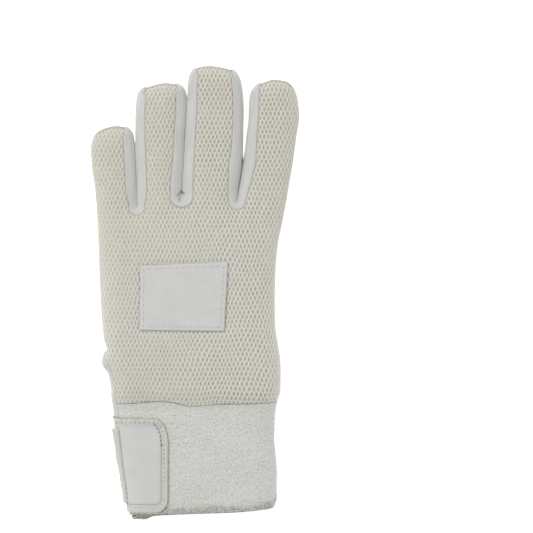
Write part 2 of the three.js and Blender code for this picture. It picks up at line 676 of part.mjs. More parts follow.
function strapPatch() {
  return sidePlate(patch, cornerRows(patch, 2, 2), 5, 1, strapCloth.lift + strapCloth.wall + seamGap);
}

function loopPad() {
  return sidePlate(pad, cornerRows(pad, 4, 1), 3, -1, seamGap);
}

// The stiff face on the strap's palm end. The glove rests on its flat underside.
function strapTab() {
  return wallOf(cornerRows(tab, 3, 1), [0, 1], (y, share, depth) => {
    const x = THREE.MathUtils.lerp(outlineX(y, -1) + tab.inset, tab.endX - cornerDraw(y, tab), share);
    return new THREE.Vector3(x, y, depth);
  }, 0, tab.wall);
}

function backBadge() {
  const turn = (u, v) => ({
    u: badge.centreX + u - badge.turn * v,
    v: badge.centreY + v + badge.turn * u,
  });
  const rows = steps(-badge.height / 2, badge.height / 2, 3);
  const columns = steps(-badge.width / 2, badge.width / 2, 5);
  return wallOf(rows, columns, (v, u, depth) => {
    const at = turn(u, v);
    return place(hand, at.u, at.v, 1, depth);
  }, -seamGap - badge.wall, badge.wall);
}

// Positive on the tip's side of the line across the thumb's base where its back ends.
function thumbBackEnd(u, v) {
  const { highX, highY, lowX, lowY } = thumbBack;
  const x = highX + ((v - highY) / (lowY - highY)) * (lowX - highX);
  return x - u;
}

function thumbPanel(face, end) {
  const polygons = patternPolygons(thumbSteps, thumbLow, [(u, v) => insideThumbSeam(u, v, face), end], []);
  return patternWall(
    polygons,
    (u, v) => place(thumb, u, v, face, 0),
    (u, v) => place(thumb, u, v, face, thumbWall),
  );
}

function insideThumbSeam(u, v, face) {
  const foot = nearestEdge(thumb, u, v);
  return foot.inside - insetAtAngle(0, lieAt(thumb, v)) - seamGap / 2 - (face > 0 ? thumbFrontGap : 0);
}

function thumbWelt() {
  const at = chords(weltPath);
  const column = (name) => weltPath.map((row) => row[name]);
  const rows = steps(0, at.at(-1), weltRows);
  return wallOf(rows, weltSection.map((_, i) => i), (distance, i, depth) => {
    const x = smoothValue(column('x'), at, distance);
    const y = smoothValue(column('y'), at, distance);
    const foot = smoothValue(column('foot'), at, distance);
    const aheadX = slopeAt(column('x'), at, distance);
    const aheadY = slopeAt(column('y'), at, distance);
    const long = Math.hypot(aheadX, aheadY);
    const spot = weltSpot(i, foot);
    const inwards = weltInwards(i, foot);
    const reach = spot.reach + depth * inwards.reach;
    const u = x + (aheadY / long) * reach;
    const v = y - (aheadX / long) * reach;
    return new THREE.Vector3(u, v, spot.rise * weltRoof(u, v) + depth * inwards.rise);
  }, 0, weltWall);
}

function weltRoof(u, v) {
  return place(hand, u, v, -1, 0).z - weltRoofGap;
}

function weltSpot(i, foot) {
  const { footReach, footRise, endReach, endRise } = weltSection[i];
  return {
    reach: THREE.MathUtils.lerp(endReach, footReach, foot),
    rise: THREE.MathUtils.lerp(endRise, footRise, foot),
  };
}

// The way from the welt's outer face to its inner one, across its section.
function weltInwards(i, foot) {
  const roof = 10;
  const before = weltSpot(Math.max(i - 1, 0), foot);
  const after = weltSpot(Math.min(i + 1, weltSection.length - 1), foot);
  const run = { reach: after.reach - before.reach, rise: (after.rise - before.rise) * roof };
  const long = Math.hypot(run.reach, run.rise);
  return { reach: run.rise / long, rise: -run.reach / long };
}

function slopeAt(values, at, distance) {
  const reach = 0.5;
  return smoothValue(values, at, distance + reach) - smoothValue(values, at, distance - reach);
}

const glove = new THREE.Group();

function add(name, geometry, material) {
  const mesh = new THREE.Mesh(geometry, material);
  mesh.name = name;
  glove.add(mesh);
}

add('back_panel', backPanel(), materials.mesh);
add('palm_panel', palmPanel(), materials.chamois);
add('fourchette_little_ring', fourchette(forks.littleRing), materials.fork);
add('fourchette_ring_middle', fourchette(forks.ringMiddle), materials.fork);
add('fourchette_middle_index', fourchette(forks.middleIndex), materials.fork);
add('wrist_gusset', wristGusset(), materials.fork);
add('cuff', cuff(), materials.towelling);
add('thumb_back', thumbPanel(-1, thumbBackEnd), materials.mesh);
add('thumb_front', thumbPanel(1, (u) => thumbFrontX - u), materials.chamois);
add('thumb_welt', thumbWelt(), materials.chamois);
add('strap', strap(), materials.strap);
add('strap_patch', strapPatch(), materials.vinyl);
add('strap_tab', strapTab(), materials.vinyl);
add('loop_pad', loopPad(), materials.loop);
add('back_badge', backBadge(), materials.vinyl);

// The origin is under the middle of the glove, on the surface that it lies on.
const box = new THREE.Box3().setFromObject(glove);
const middle = box.getCenter(new THREE.Vector3());
glove.position.set(-middle.x, -middle.y, -box.min.z);

export default glove;
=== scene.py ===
# Dresses the left-hand wicketkeeping inner glove: mesh back, quilted chamois palm, towelling cuff, strap.
# Shapes are worked out in millimetres from the mouth of the cuff, and moved into the frame at the end.
import math
import bpy
import numpy as np
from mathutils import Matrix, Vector, geometry, kdtree


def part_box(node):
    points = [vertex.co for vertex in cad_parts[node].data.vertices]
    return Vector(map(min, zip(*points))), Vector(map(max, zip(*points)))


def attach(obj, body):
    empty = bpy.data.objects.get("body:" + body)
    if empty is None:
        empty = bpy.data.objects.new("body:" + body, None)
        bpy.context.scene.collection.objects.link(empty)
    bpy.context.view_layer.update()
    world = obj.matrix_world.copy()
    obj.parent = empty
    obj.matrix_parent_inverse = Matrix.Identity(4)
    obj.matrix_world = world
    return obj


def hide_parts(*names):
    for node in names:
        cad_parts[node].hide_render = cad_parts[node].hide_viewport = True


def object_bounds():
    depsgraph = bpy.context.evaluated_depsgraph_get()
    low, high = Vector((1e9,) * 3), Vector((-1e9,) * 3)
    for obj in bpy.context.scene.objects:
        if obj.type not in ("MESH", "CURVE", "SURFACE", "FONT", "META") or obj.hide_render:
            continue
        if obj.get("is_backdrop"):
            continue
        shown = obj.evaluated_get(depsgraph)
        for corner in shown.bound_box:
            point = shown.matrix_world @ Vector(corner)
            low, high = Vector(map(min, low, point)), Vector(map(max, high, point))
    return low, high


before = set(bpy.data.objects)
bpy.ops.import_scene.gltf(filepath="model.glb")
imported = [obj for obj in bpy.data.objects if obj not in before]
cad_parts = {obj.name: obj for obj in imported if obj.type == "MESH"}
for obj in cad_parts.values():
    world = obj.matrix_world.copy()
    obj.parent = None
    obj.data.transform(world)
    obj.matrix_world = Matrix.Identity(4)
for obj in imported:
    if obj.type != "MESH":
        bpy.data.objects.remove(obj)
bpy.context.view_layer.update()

# How the glove lies, as its patterns were drawn
wallOf = {"mesh": 2.4, "chamois": 2.2, "fork": 1.2, "vent": 1.4, "cuff": 3.0, "thumb": 1.6, "welt": 1.4}
seamGap = 0.1
cuffTop = 66.6
handStart = 97                          # above this the cuff and the gusset have ended
sideSeam, forkSeam = -25, 57                    # degrees above the widest line of the edge
ventSeam = {1: 42, -1: 20}                      # the wrist gusset shows more from the back
tabHigh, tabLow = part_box("strap_tab")[1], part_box("strap_tab")[0]
shift = np.array([tabHigh.x * 1000 - 7.3, tabLow.y * 1000 - 4.2, 0])

# x, y, how far a finger's side strip opens the seam there, how far the wrist gusset does
handOutline = [
    (-36.5, -40, 0, 1), (-37.4, 0, 0, 1), (-38.8, 15, 0, 1), (-41.4, 30, 0, 1), (-44, 46, 0, 1),
    (-45.9, 58, 0, 1), (-47.7, 67, 0, 1), (-48.8, 76, 0, 1), (-50, 83, 0, 1), (-52.2, 90, 0, 1),
    (-52, 98, 0, 0), (-52.3, 104, 0, 0), (-53.6, 120, 0, 0), (-54.8, 145, 0, 0), (-55.6, 166, 0, 0),
    (-57, 185, 0, 0), (-59, 202, 0, 0), (-59.6, 213, 0, 0), (-58, 219.6, 0, 0), (-52.6, 223.9, 0, 0),
    (-45, 225.6, -0.8, 0), (-39, 224.4, 0.84, 0), (-35.6, 220.6, 0.99, 0), (-34.8, 211, 1, 0),
    (-34, 196, 1, 0), (-33.7, 188, 0.98, 0), (-33.3, 182.4, 0.91, 0), (-33, 180.2, 0.88, 0),
    (-32.7, 178.9, 0.94, 0), (-32.4, 180.2, 0.88, 0), (-32.1, 182.4, 0.91, 0), (-32.3, 188, 0.98, 0),
    (-32.8, 196, 1, 0), (-33.5, 212, 1, 0), (-34, 224, 1, 0), (-33.9, 234, 1, 0), (-33.1, 241.8, 1, 0),
    (-31.6, 245.6, 0.93, 0), (-28.8, 247.2, 0.6, 0), (-24, 248.9, -0.75, 0), (-17, 250.3, -1, 0),
    (-10.8, 249.4, 0.5, 0), (-7.2, 247.8, 0.92, 0), (-5.5, 244.6, 1, 0), (-5.2, 238, 1, 0),
    (-6.1, 222, 1, 0), (-6.9, 206, 1, 0), (-7.7, 192, 1.03, 0), (-7.45, 186.4, 1.05, 0),
    (-7.25, 185.4, 1.09, 0), (-7.05, 186.4, 1.05, 0), (-6.7, 192, 1.03, 0), (-5.8, 206, 1, 0),
    (-5, 222, 1, 0), (-4.3, 237, 1, 0), (-4.1, 247, 1, 0), (-3.6, 252.8, 1, 0), (-2.5, 256, 0.97, 0),
    (-0.4, 258.2, 0.9, 0), (2.6, 259.4, -0.2, 0), (8, 260.1, -1.2, 0), (16.4, 258.9, -1, 0),
    (21, 257.5, 0.5, 0), (24, 255.3, 0.9, 0), (26.1, 250.6, 0.98, 0), (27.3, 240, 1, 0),
    (27.4, 228, 1, 0), (27.1, 214, 1.04, 0), (26.2, 200, 1.1, 0), (24.1, 186, 0.95, 0),
    (24.2, 182, 0.94, 0), (25.6, 188, 0.95, 0), (27.9, 204, 1.1, 0), (29.4, 217, 1.04, 0),
    (30.7, 229, 1, 0), (31.2, 240, 1, 0), (32.2, 245.2, 0.96, 0), (34.3, 247.9, 0.9, 0),
    (37, 249.6, 0.5, 0), (40, 250.9, -0.6, 0), (45, 252.2, -1, 0), (52.2, 251.2, 0, 0),
    (56.8, 247, 0, 0), (58.9, 240, 0, 0), (59.7, 231, 0, 0), (58.2, 220, 0, 0), (56, 204, 0, 0),
    (53.7, 188, 0, 0), (50.8, 172, 0, 0), (48.1, 159, 0, 0), (46.6, 145, 0, 0), (46.1, 128, 0, 0),
    (46.3, 112, 0, 0), (47.8, 101, 0, 0), (49.3, 91, 0, 0), (49.5, 82, 0, 0), (48.6, 73.5, 0, 0),
    (46.8, 67, 0, 0), (45.8, 58, 0, 0), (45.8, 46, 0, 0), (46.6, 34, 0, 0), (46.6, 18, 0, 0),
    (45.6, 4, 0, 0), (44, -40, 0, 0),
]
# y, height of the widest line, rise above it, drop below it, width of the rounded edge, crown of the back
handLie = [
    (-60, 14.6, 9.4, 9.4, 13, 0), (0, 14.6, 9.4, 9.4, 13, 0), (62, 14.6, 9.4, 9.4, 13, 0),
    (67, 15, 9.8, 9.4, 13, 0), (76, 16.6, 11.2, 9.6, 13, 0.6), (92, 18.8, 10.8, 9.4, 13, 1.4),
    (112, 20, 10, 9.5, 13, 2), (140, 20, 9.4, 9.4, 13, 2), (160, 19.2, 9, 9, 12.5, 1.4),
    (180, 16.6, 8.4, 8.4, 12, 0.4), (200, 13.2, 8, 8, 12, 0), (222, 10, 7.7, 7.7, 12, 0),
    (244, 7.8, 7.5, 7.5, 12, 0), (290, 7.4, 7.4, 7.4, 12, 0),
]
thumbOutline = [
    (60, 93, 0, 0), (34, 93.6, 0, 0), (20, 94.8, 0, 0), (0, 98.4, 0, 0), (-24, 104.6, 0, 0), (-38, 110, 0, 0),
    (-46, 117.2, 0, 0), (-48.4, 125.4, 0, 0), (-46, 133.6, 0, 0), (-38, 140.4, 0, 0), (-24, 144.2, 0, 0),
    (0, 146.4, 0, 0), (28, 147.2, 0, 0), (60, 148.5, 0, 0),
]
thumbLie = [(60, 4.9, 4.6, 4.9, 9, 0), (180, 4.9, 4.6, 4.9, 9, 0)]


def smoothStep(low, high, x):
    t = np.clip((x - low) / (high - low), 0, 1)
    return t * t * (3 - 2 * t)


def between(a, b, t):
    return a + (b - a) * t


def lengthAlong(points):                # of the line through them, up to each
    return np.concatenate([[0], np.cumsum(np.hypot(*np.diff(points, axis=0).T))])


def softNoise(x, y, size, seed):        # smooth bumps about size apart, from -1 to 1
    table = np.random.default_rng(seed).uniform(-1, 1, (64, 64))
    i, j = np.floor(x / size).astype(int), np.floor(y / size).astype(int)
    a, b = x / size - i, y / size - j
    a, b = a * a * (3 - 2 * a), b * b * (3 - 2 * b)
    low = between(table[i % 64, j % 64], table[(i + 1) % 64, j % 64], a)
    high = between(table[i % 64, (j + 1) % 64], table[(i + 1) % 64, (j + 1) % 64], a)
    return between(low, high, b)


class SmoothTable:                      # a smooth curve through rows, level where they turn back
    def __init__(self, at, values):
        self.at, self.values = np.asarray(at, float), np.asarray(values, float)
        step = np.diff(self.at)
        secant = np.diff(self.values) / step
        before, after = 2 * step[1:] + step[:-1], step[1:] + 2 * step[:-1]
        same = secant[:-1] * secant[1:] > 0
        first, second = np.where(same, secant[:-1], 1), np.where(same, secant[1:], 1)
        inner = np.where(same, (before + after) / (before / first + after / second), 0)
        self.slope = np.concatenate([secant[:1], inner, secant[-1:]])

    def __call__(self, x):
        x = np.clip(x, self.at[0], self.at[-1])
        i = np.clip(np.searchsorted(self.at, x, side="right") - 1, 0, len(self.at) - 2)
        span = self.at[i + 1] - self.at[i]
        t = (x - self.at[i]) / span
        start, end = self.slope[i] * span, self.slope[i + 1] * span
        rise = self.values[i + 1] - self.values[i]
        return self.values[i] + t * (start + t * (3 * rise - 2 * start - end + t * (start + end - 2 * rise)))


class Foot:                             # where cloth is nearest to the outline
    def __init__(self, x, y, inX, inY, inside=0, fork=0, vent=0):
        self.x, self.y, self.inX, self.inY = x, y, inX, inY
        self.inside, self.fork, self.vent = inside, fork, vent


class ClothForm:                        # a stuffed outline: flat in the middle, a quarter ellipse at the edge
    def __init__(self, outline, lie, step=0.7):
        rows = np.array(outline, float)
        at = lengthAlong(rows[:, :2])
        # a short stretch turns sharply, and gets 16 steps at least
        counts = [max(math.ceil((b - a) / step), 16 if b - a < 8 else 1) for a, b in zip(at, at[1:])]
        spans = [np.linspace(a, b, n, endpoint=False) for a, b, n in zip(at, at[1:], counts)]
        distance = np.concatenate(spans + [at[-1:]])
        self.x, self.y = SmoothTable(at, rows[:, 0])(distance), SmoothTable(at, rows[:, 1])(distance)
        self.fork = np.interp(distance, at, rows[:, 2]).clip(0)
        self.vent = np.interp(distance, at, rows[:, 3])
        dx, dy = np.gradient(self.x, distance), np.gradient(self.y, distance)
        self.heading = np.unwrap(np.arctan2(-dx, dy))
        self.columns = (self.x, self.y, self.heading, self.fork, self.vent)
        names = ("middle", "upper", "lower", "edge", "crown")
        self.lie = {n: SmoothTable([r[0] for r in lie], [r[k + 1] for r in lie]) for k, n in enumerate(names)}
        self.at = lengthAlong(np.stack([self.x, self.y], 1))

    def alongOutline(self, at):         # the outline's own points, as feet
        x, y, heading, fork, vent = [np.interp(at, self.at, c) for c in self.columns]
        return Foot(x, y, np.cos(heading), np.sin(heading), np.zeros_like(at), fork, vent)

    def onStretch(self, u, v, i):       # how far points are from a stretch of the outline, and where along
        runX, runY = self.x[i + 1] - self.x[i], self.y[i + 1] - self.y[i]
        t = np.clip(((u - self.x[i]) * runX + (v - self.y[i]) * runY) / (runX ** 2 + runY ** 2), 0, 1)
        return np.hypot(u - self.x[i] - t * runX, v - self.y[i] - t * runY), i, t

    def nearest(self, u, v):
        shape = np.shape(u)
        u, v = np.ravel(u).astype(float), np.ravel(v).astype(float)
        close = np.empty(len(u), int)
        line = np.stack([self.x, self.y])
        square = (line ** 2).sum(0)
        batch = 8000                    # keeps the table of distances small
        for k in range(0, len(u), batch):
            part = np.stack([u[k:k + batch], v[k:k + batch]], 1)
            close[k:k + batch] = np.argmin(square - 2 * part @ line, 1)
        before, after = [self.onStretch(u, v, np.clip(close + k, 0, len(self.x) - 2)) for k in (-1, 0)]
        swap = after[0] < before[0]
        away, i, t = [np.where(swap, b, a) for a, b in zip(before, after)]
        footX, footY, heading, fork, vent = [between(c[i], c[i + 1], t) for c in self.columns]
        inX, inY = np.cos(heading), np.sin(heading)
        sign = np.where((u - footX) * inX + (v - footY) * inY >= 0, 1, -1)
        direct = away > 1e-4
        safe = np.where(direct, away, 1)
        inX = np.where(direct, sign * (u - footX) / safe, inX)
        inY = np.where(direct, sign * (v - footY) / safe, inY)
        values = (footX, footY, inX, inY, sign * away, fork, vent)
        return Foot(*(c.reshape(shape) for c in values))

    def arcAt(self, y):                 # the length of the edge's quarter ellipse, and how it takes up cloth
        edge, rise = self.lie["edge"](y), (self.lie["upper"](y) + self.lie["lower"](y)) / 2
        arc = math.pi / 4 * (3 * (edge + rise) - np.sqrt((3 * edge + rise) * (edge + 3 * rise)))
        return edge, arc, arc / (edge * math.pi / 2)

    def angleAtInset(self, inset, y):
        edge, arc, turn = self.arcAt(y)
        t = (edge - inset) / arc
        return math.pi / 2 * (1 - (turn * t + (1 - turn) * t * t))

    def insetAtAngle(self, angle, y):
        edge, arc, turn = self.arcAt(y)
        share = 1 - angle / (math.pi / 2)
        t = (np.sqrt(turn * turn + 4 * (1 - turn) * share) - turn) / (2 * (1 - turn))
        return edge - arc * t

    def crownAt(self, x, y, angle):
        return np.where(angle > 0, self.lie["crown"](y) * np.sin(angle) * (1 - ((x + 3) / 54) ** 2), 0)

    def onEdge(self, foot, angle, depth):
        edge = self.lie["edge"](foot.y)
        inset = edge - (edge - depth) * np.cos(angle)
        x, y = foot.x + foot.inX * inset, foot.y + foot.inY * inset
        half = np.where(angle > 0, self.lie["upper"](y), self.lie["lower"](y)) - depth
        return np.stack([x, y, self.lie["middle"](y) + half * np.sin(angle) + self.crownAt(x, y, angle)], -1)

    def place(self, u, v, face, depth=0):
        u, v = np.broadcast_arrays(np.asarray(u, float), np.asarray(v, float))
        foot = self.nearest(u, v)
        edge = self.lie["edge"](v)
        bent = self.onEdge(foot, face * self.angleAtInset(np.minimum(foot.inside, edge), v), depth)
        half = (self.lie["upper"](v) if face > 0 else self.lie["lower"](v)) - depth
        height = self.lie["middle"](v) + face * half + self.crownAt(u, v, face * np.pi / 2)
        return np.where((foot.inside < edge)[..., None], bent, np.stack([u, v, height], -1))

    def over(self, face, lift=0):       # a way to lay cloth on one face, this much above it
        return lambda u, v, depth: self.place(u, v, face, depth - lift)

    def insideSeam(self, u, v, face):
        foot = self.nearest(u, v)
        side = sideSeam if face > 0 else -sideSeam
        angle = side + foot.fork * (forkSeam - side) + foot.vent * (ventSeam[face] - side)
        return foot.inside - self.insetAtAngle(np.radians(angle), v) - seamGap / 2


hand = ClothForm(handOutline, handLie)
thumb = ClothForm(thumbOutline, thumbLie)


# Cloth is cut as a fine flat grid, laid over its form, given its relief, and lined with a coarser inner face
cellCorners = [(slice(a, a - 1 or None), slice(b, b - 1 or None))
               for a, b in ((0, 0), (0, 1), (1, 1), (1, 0))]


def touched(cells):                     # the points of a grid that its chosen cells touch
    points = np.zeros((cells.shape[0] + 1, cells.shape[1] + 1), bool)
    for corner in cellCorners:
        points[corner] |= cells
    return points


class CutCloth:
    def __init__(self, axisU, axisV, field=None, form=None):
        u, v = np.meshgrid(axisU, axisV)
        steps = axisU[1] - axisU[0], axisV[1] - axisV[0]
        self.field = field
        f = field(u, v) if field else np.ones_like(u)
        well = f > 0.35 * min(steps)
        cells = np.logical_or.reduce([well[corner] for corner in cellCorners])
        used = touched(cells)
        if field:
            drawn = used & ~well
            u[drawn], v[drawn] = drawToEdge(u[drawn], v[drawn], field, 1.6 * max(steps))
            f[drawn] = 0
        if form:                        # nothing may bridge two fingers
            foot = form.nearest(u, v)
            sides = list(zip(cellCorners, cellCorners[-1:] + cellCorners[:-1]))
            apart = [np.hypot(foot.x[a] - foot.x[b], foot.y[a] - foot.y[b]) for a, b in sides]
            outermost = np.minimum.reduce([foot.inside[corner] for corner in cellCorners])
            cells = cells & ~((np.maximum.reduce(apart) > 4) & (outermost < 0.5))
            used = touched(cells)
        number = np.cumsum(used.ravel()).reshape(used.shape) - 1
        i, j = np.nonzero(cells)
        self.quads = np.stack([number[i, j], number[i, j + 1], number[i + 1, j + 1], number[i + 1, j]], 1)
        self.u, self.v, self.f = u[used], v[used], f[used]
        if not field:
            self.f = np.minimum.reduce([self.u - axisU[0], axisU[-1] - self.u,
                                        self.v - axisV[0], axisV[-1] - self.v])
        self.edges = np.concatenate([self.quads[:, [k, (k + 1) % 4]] for k in range(4)])
        start, end, count = self.edges[:, 0], self.edges[:, 1], len(self.u)
        self.rim = self.edges[~np.isin(start * count + end, end * count + start)]

    def lining(self, stepU, stepV):     # triangles over the same flat shape, few in the middle
        ring, place = np.unique(self.rim, return_inverse=True)
        rimEdges = place.reshape(self.rim.shape)
        u = np.arange(self.u.min() + stepU / 2, self.u.max(), stepU)
        v = np.arange(self.v.min() + stepV / 2, self.v.max(), stepV)
        u, v = [c.ravel() for c in np.meshgrid(u, v)]
        u = u + np.where(np.round(v / stepV).astype(int) % 2 == 0, stepU / 4, -stepU / 4)
        if self.field:
            keep = self.field(u, v) > 0.7 * min(stepU, stepV)
        else:
            keep = np.logical_and.reduce([u > self.u.min() + stepU / 3, u < self.u.max() - stepU / 3,
                                          v > self.v.min() + stepV / 3, v < self.v.max() - stepV / 3])
        u, v = np.concatenate([self.u[ring], u[keep]]), np.concatenate([self.v[ring], v[keep]])
        corners, _, triangles, origins, _, _ = geometry.delaunay_2d_cdt(
            [Vector(p) for p in zip(u.tolist(), v.tolist())], rimEdges.tolist(), [], 0, 1e-5)
        first = np.arange(len(u))
        for k, origin in enumerate(origins):
            for n in origin:
                first[n] = k
        flat = np.array([tuple(c) for c in corners])
        triangles = np.array([tuple(t) for t in triangles])
        if self.field:                  # nothing may bridge a slit
            middle = flat[triangles].mean(1)
            triangles = triangles[self.field(middle[:, 0], middle[:, 1]) > -0.12]
        rimEdges = first[rimEdges]
        rimEdges = rimEdges[rimEdges[:, 0] != rimEdges[:, 1]]
        return flat[:, 0], flat[:, 1], insideTriangles(triangles.tolist(), rimEdges), ring, first


def drawToEdge(u, v, field, reach):     # slides points onto the line where the field is nought
    startU, startV, small = u.copy(), v.copy(), 0.02
    for _ in range(6):
        f = field(u, v)
        slopeU = (field(u + small, v) - field(u - small, v)) / (2 * small)
        slopeV = (field(u, v + small) - field(u, v - small)) / (2 * small)
        step = f / np.maximum(slopeU ** 2 + slopeV ** 2, 0.3)
        u, v = u - step * slopeU, v - step * slopeV
        u, v = np.clip(u, startU - reach, startU + reach), np.clip(v, startV - reach, startV + reach)
    return u, v


def insideTriangles(triangles, rimEdges):           # those reached from the rim without crossing it
    rimSet = {(a, b) for a, b in rimEdges.tolist()}
    owner = {}
    for n, t in enumerate(triangles):
        for k in range(3):
            owner[t[k], t[(k + 1) % 3]] = n
    queue = [owner[e] for e in rimSet if e in owner]
    seen = set(queue)
    while queue:
        t = triangles[queue.pop()]
        for k in range(3):
            a, b = t[k], t[(k + 1) % 3]
            if (a, b) in rimSet or (b, a) in rimSet:
                continue
            n = owner.get((b, a))
            if n is not None and n not in seen:
                seen.add(n)
                queue.append(n)
    return np.array([triangles[n] for n in sorted(seen)])


def addUp(rows, values, count):         # what each row is given in all
    return np.stack([np.bincount(rows, values[:, k], count) for k in range(3)], 1)


def relax(points, edges, fixed, rounds):            # evens out creases, with the rim held
    count = np.maximum(np.bincount(edges[:, 0], minlength=len(points)), 1)
    for _ in range(rounds):
        mean = addUp(edges[:, 0], points[edges[:, 1]], len(points)) / count[:, None]
        points = np.where(fixed[:, None], points, between(points, mean, 0.6))
    return points


def cornerNormals(points, quads):
    across = np.cross(points[quads[:, 2]] - points[quads[:, 0]], points[quads[:, 3]] - points[quads[:, 1]])
    total = addUp(quads.ravel(), np.repeat(across, 4, 0), len(points))
    return total / np.maximum(np.linalg.norm(total, axis=1), 1e-12)[:, None]


class LaidCloth:                        # the closed wall of one piece, in millimetres
    def __init__(self, points, quads, triangles, flat, marks):
        self.points, self.quads, self.triangles = points, quads, triangles
        self.flat, self.marks = flat, marks         # what its finish goes by

    def redraw(self, by):               # moves the flat coordinates
        self.flat[:] = np.stack(by(*self.flat.T), 1)


def layCloth(cloth, placeAt, wall, relief, smooth=0, linePitch=(4, 4)):
    points = placeAt(cloth.u, cloth.v, 0)
    held = np.zeros(len(points), bool)
    held[cloth.rim.ravel()] = True
    if smooth:
        points = relax(points, cloth.edges, held, smooth)
    probe = np.linspace(0, len(points) - 1, 400).astype(int)
    outwards = points[probe] - placeAt(cloth.u[probe], cloth.v[probe], wall)
    normals = cornerNormals(points, cloth.quads)
    turned = (normals[probe] * outwards).sum() < 0
    normals = -normals if turned else normals
    offset, marks = relief(cloth.u, cloth.v, cloth.f)
    points = points + normals * offset[:, None]
    u, v, triangles, ring, first = cloth.lining(*linePitch)
    inner = placeAt(u, v, wall)
    start = len(points)
    inOrder = np.full(len(points), -1)
    inOrder[ring] = first[:len(ring)] + start
    a, b = cloth.rim[:, 0], cloth.rim[:, 1]
    rimFaces = np.stack([b, a, inOrder[a], inOrder[b]], 1)
    quads, triangles = np.concatenate([cloth.quads, rimFaces]), triangles[:, ::-1] + start
    if turned:
        quads, triangles = quads[:, ::-1], triangles[:, ::-1]
    thin = quads[:, 0] == quads[:, 1]
    for k in range(1, 4):
        thin |= quads[:, k] == quads[:, (k + 1) % 4]
    slim = [list(dict.fromkeys(q)) for q in quads[thin].tolist()]
    slim = [q for q in slim if len(q) == 3]
    triangles = np.concatenate([triangles, np.array(slim, int).reshape(-1, 3)])
    flat = np.stack([np.concatenate([cloth.u, u]), np.concatenate([cloth.v, v])], 1)
    full = {"seam": np.concatenate([np.clip(cloth.f, 0, 8), np.full(len(u), 8.0)]),
            "lining": np.concatenate([np.zeros(start), np.ones(len(u))])}
    for name, values in marks.items():
        full[name] = np.concatenate([values, np.zeros(len(u))])
    return LaidCloth(np.concatenate([points, inner]), quads[~thin], triangles, flat, full)


def roundOver(f, radius):               # how far a rounded edge falls at a distance inside it
    near = np.clip(f, 0, radius)
    return radius - np.sqrt(np.maximum(radius ** 2 - (radius - near) ** 2, 0))


def hung(name, data):                   # a new object in the scene
    made = bpy.data.objects.new(name, data)
    bpy.context.scene.collection.objects.link(made)
    return made


floorGap = 0.4                          # cloth that sags lower than this flattens out over the floor


def makePiece(name, laid, finish, slotName, nodes):
    points, quads, triangles = laid.points.copy(), laid.quads, laid.triangles
    height = laid.points[:, 2]
    sagging = floorGap * np.exp(np.minimum(height - floorGap, 0) / floorGap)
    points[:, 2] = np.where(height < floorGap, sagging, height)
    mesh = bpy.data.meshes.new(name)
    mesh.vertices.add(len(points))
    mesh.vertices.foreach_set("co", ((points + shift) / 1000).astype(np.float32).ravel())
    loops = np.concatenate([quads.ravel(), triangles.ravel()]).astype(np.int32)
    sizes = np.concatenate([np.full(len(quads), 4), np.full(len(triangles), 3)])
    mesh.loops.add(len(loops))
    mesh.loops.foreach_set("vertex_index", loops)
    mesh.polygons.add(len(sizes))
    mesh.polygons.foreach_set("loop_start", (np.cumsum(sizes) - sizes).astype(np.int32))
    mesh.polygons.foreach_set("use_smooth", np.ones(len(sizes), bool))
    mesh.update(calc_edges=True)
    layer = mesh.uv_layers.new(name="cloth")
    layer.data.foreach_set("uv", (laid.flat[loops] / 1000).astype(np.float32).ravel())
    for mark, values in laid.marks.items():
        mesh.attributes.new(mark, "FLOAT", "POINT").data.foreach_set("value", values.astype(np.float32))
    mesh.validate()
    piece = hung(name, mesh)
    mesh.materials.append(finish)
    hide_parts(*nodes)
    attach(piece, "root")
    print("made", name, len(quads) * 2 + len(triangles), "triangles")
    return piece


# Finishes
def addNode(tree, kind, settings=None, values=None):
    made = tree.nodes.new(kind)
    for setting, value in (settings or {}).items():
        setattr(made, setting, value)
    for place, value in (values or {}).items():
        if isinstance(value, bpy.types.NodeSocket):
            tree.links.new(value, made.inputs[place])
        else:
            made.inputs[place].default_value = value
    return made


class Wire:                             # a node's output that takes part in sums
    def __init__(self, shop, socket):
        self.shop, self.socket = shop, socket

    def side(self, name):
        return Wire(self.shop, self.socket.node.outputs[name])

    def sum(self, operation, *values):
        return self.shop.node("ShaderNodeMath", {"operation": operation}, dict(enumerate(values)))

    def __add__(self, other):
        return self.sum("ADD", self, other)

    def __radd__(self, other):
        return self.sum("ADD", other, self)

    def __sub__(self, other):
        return self.sum("SUBTRACT", self, other)

    def __rsub__(self, other):
        return self.sum("SUBTRACT", other, self)

    def __mul__(self, other):
        return self.sum("MULTIPLY", self, other)

    def cos(self):
        return self.sum("COSINE", self)

    def sin(self):
        return self.sum("SINE", self)

    def wave(self, pitch):              # from -1 to 1 and back over each pitch
        return (self * (2 * math.pi / pitch)).cos()

    def rise(self, low, high, start=0, end=1):
        values = {"Value": self, "From Min": low, "From Max": high, "To Min": start, "To Max": end}
        return self.shop.node("ShaderNodeMapRange", {"interpolation_type": "SMOOTHSTEP"}, values)


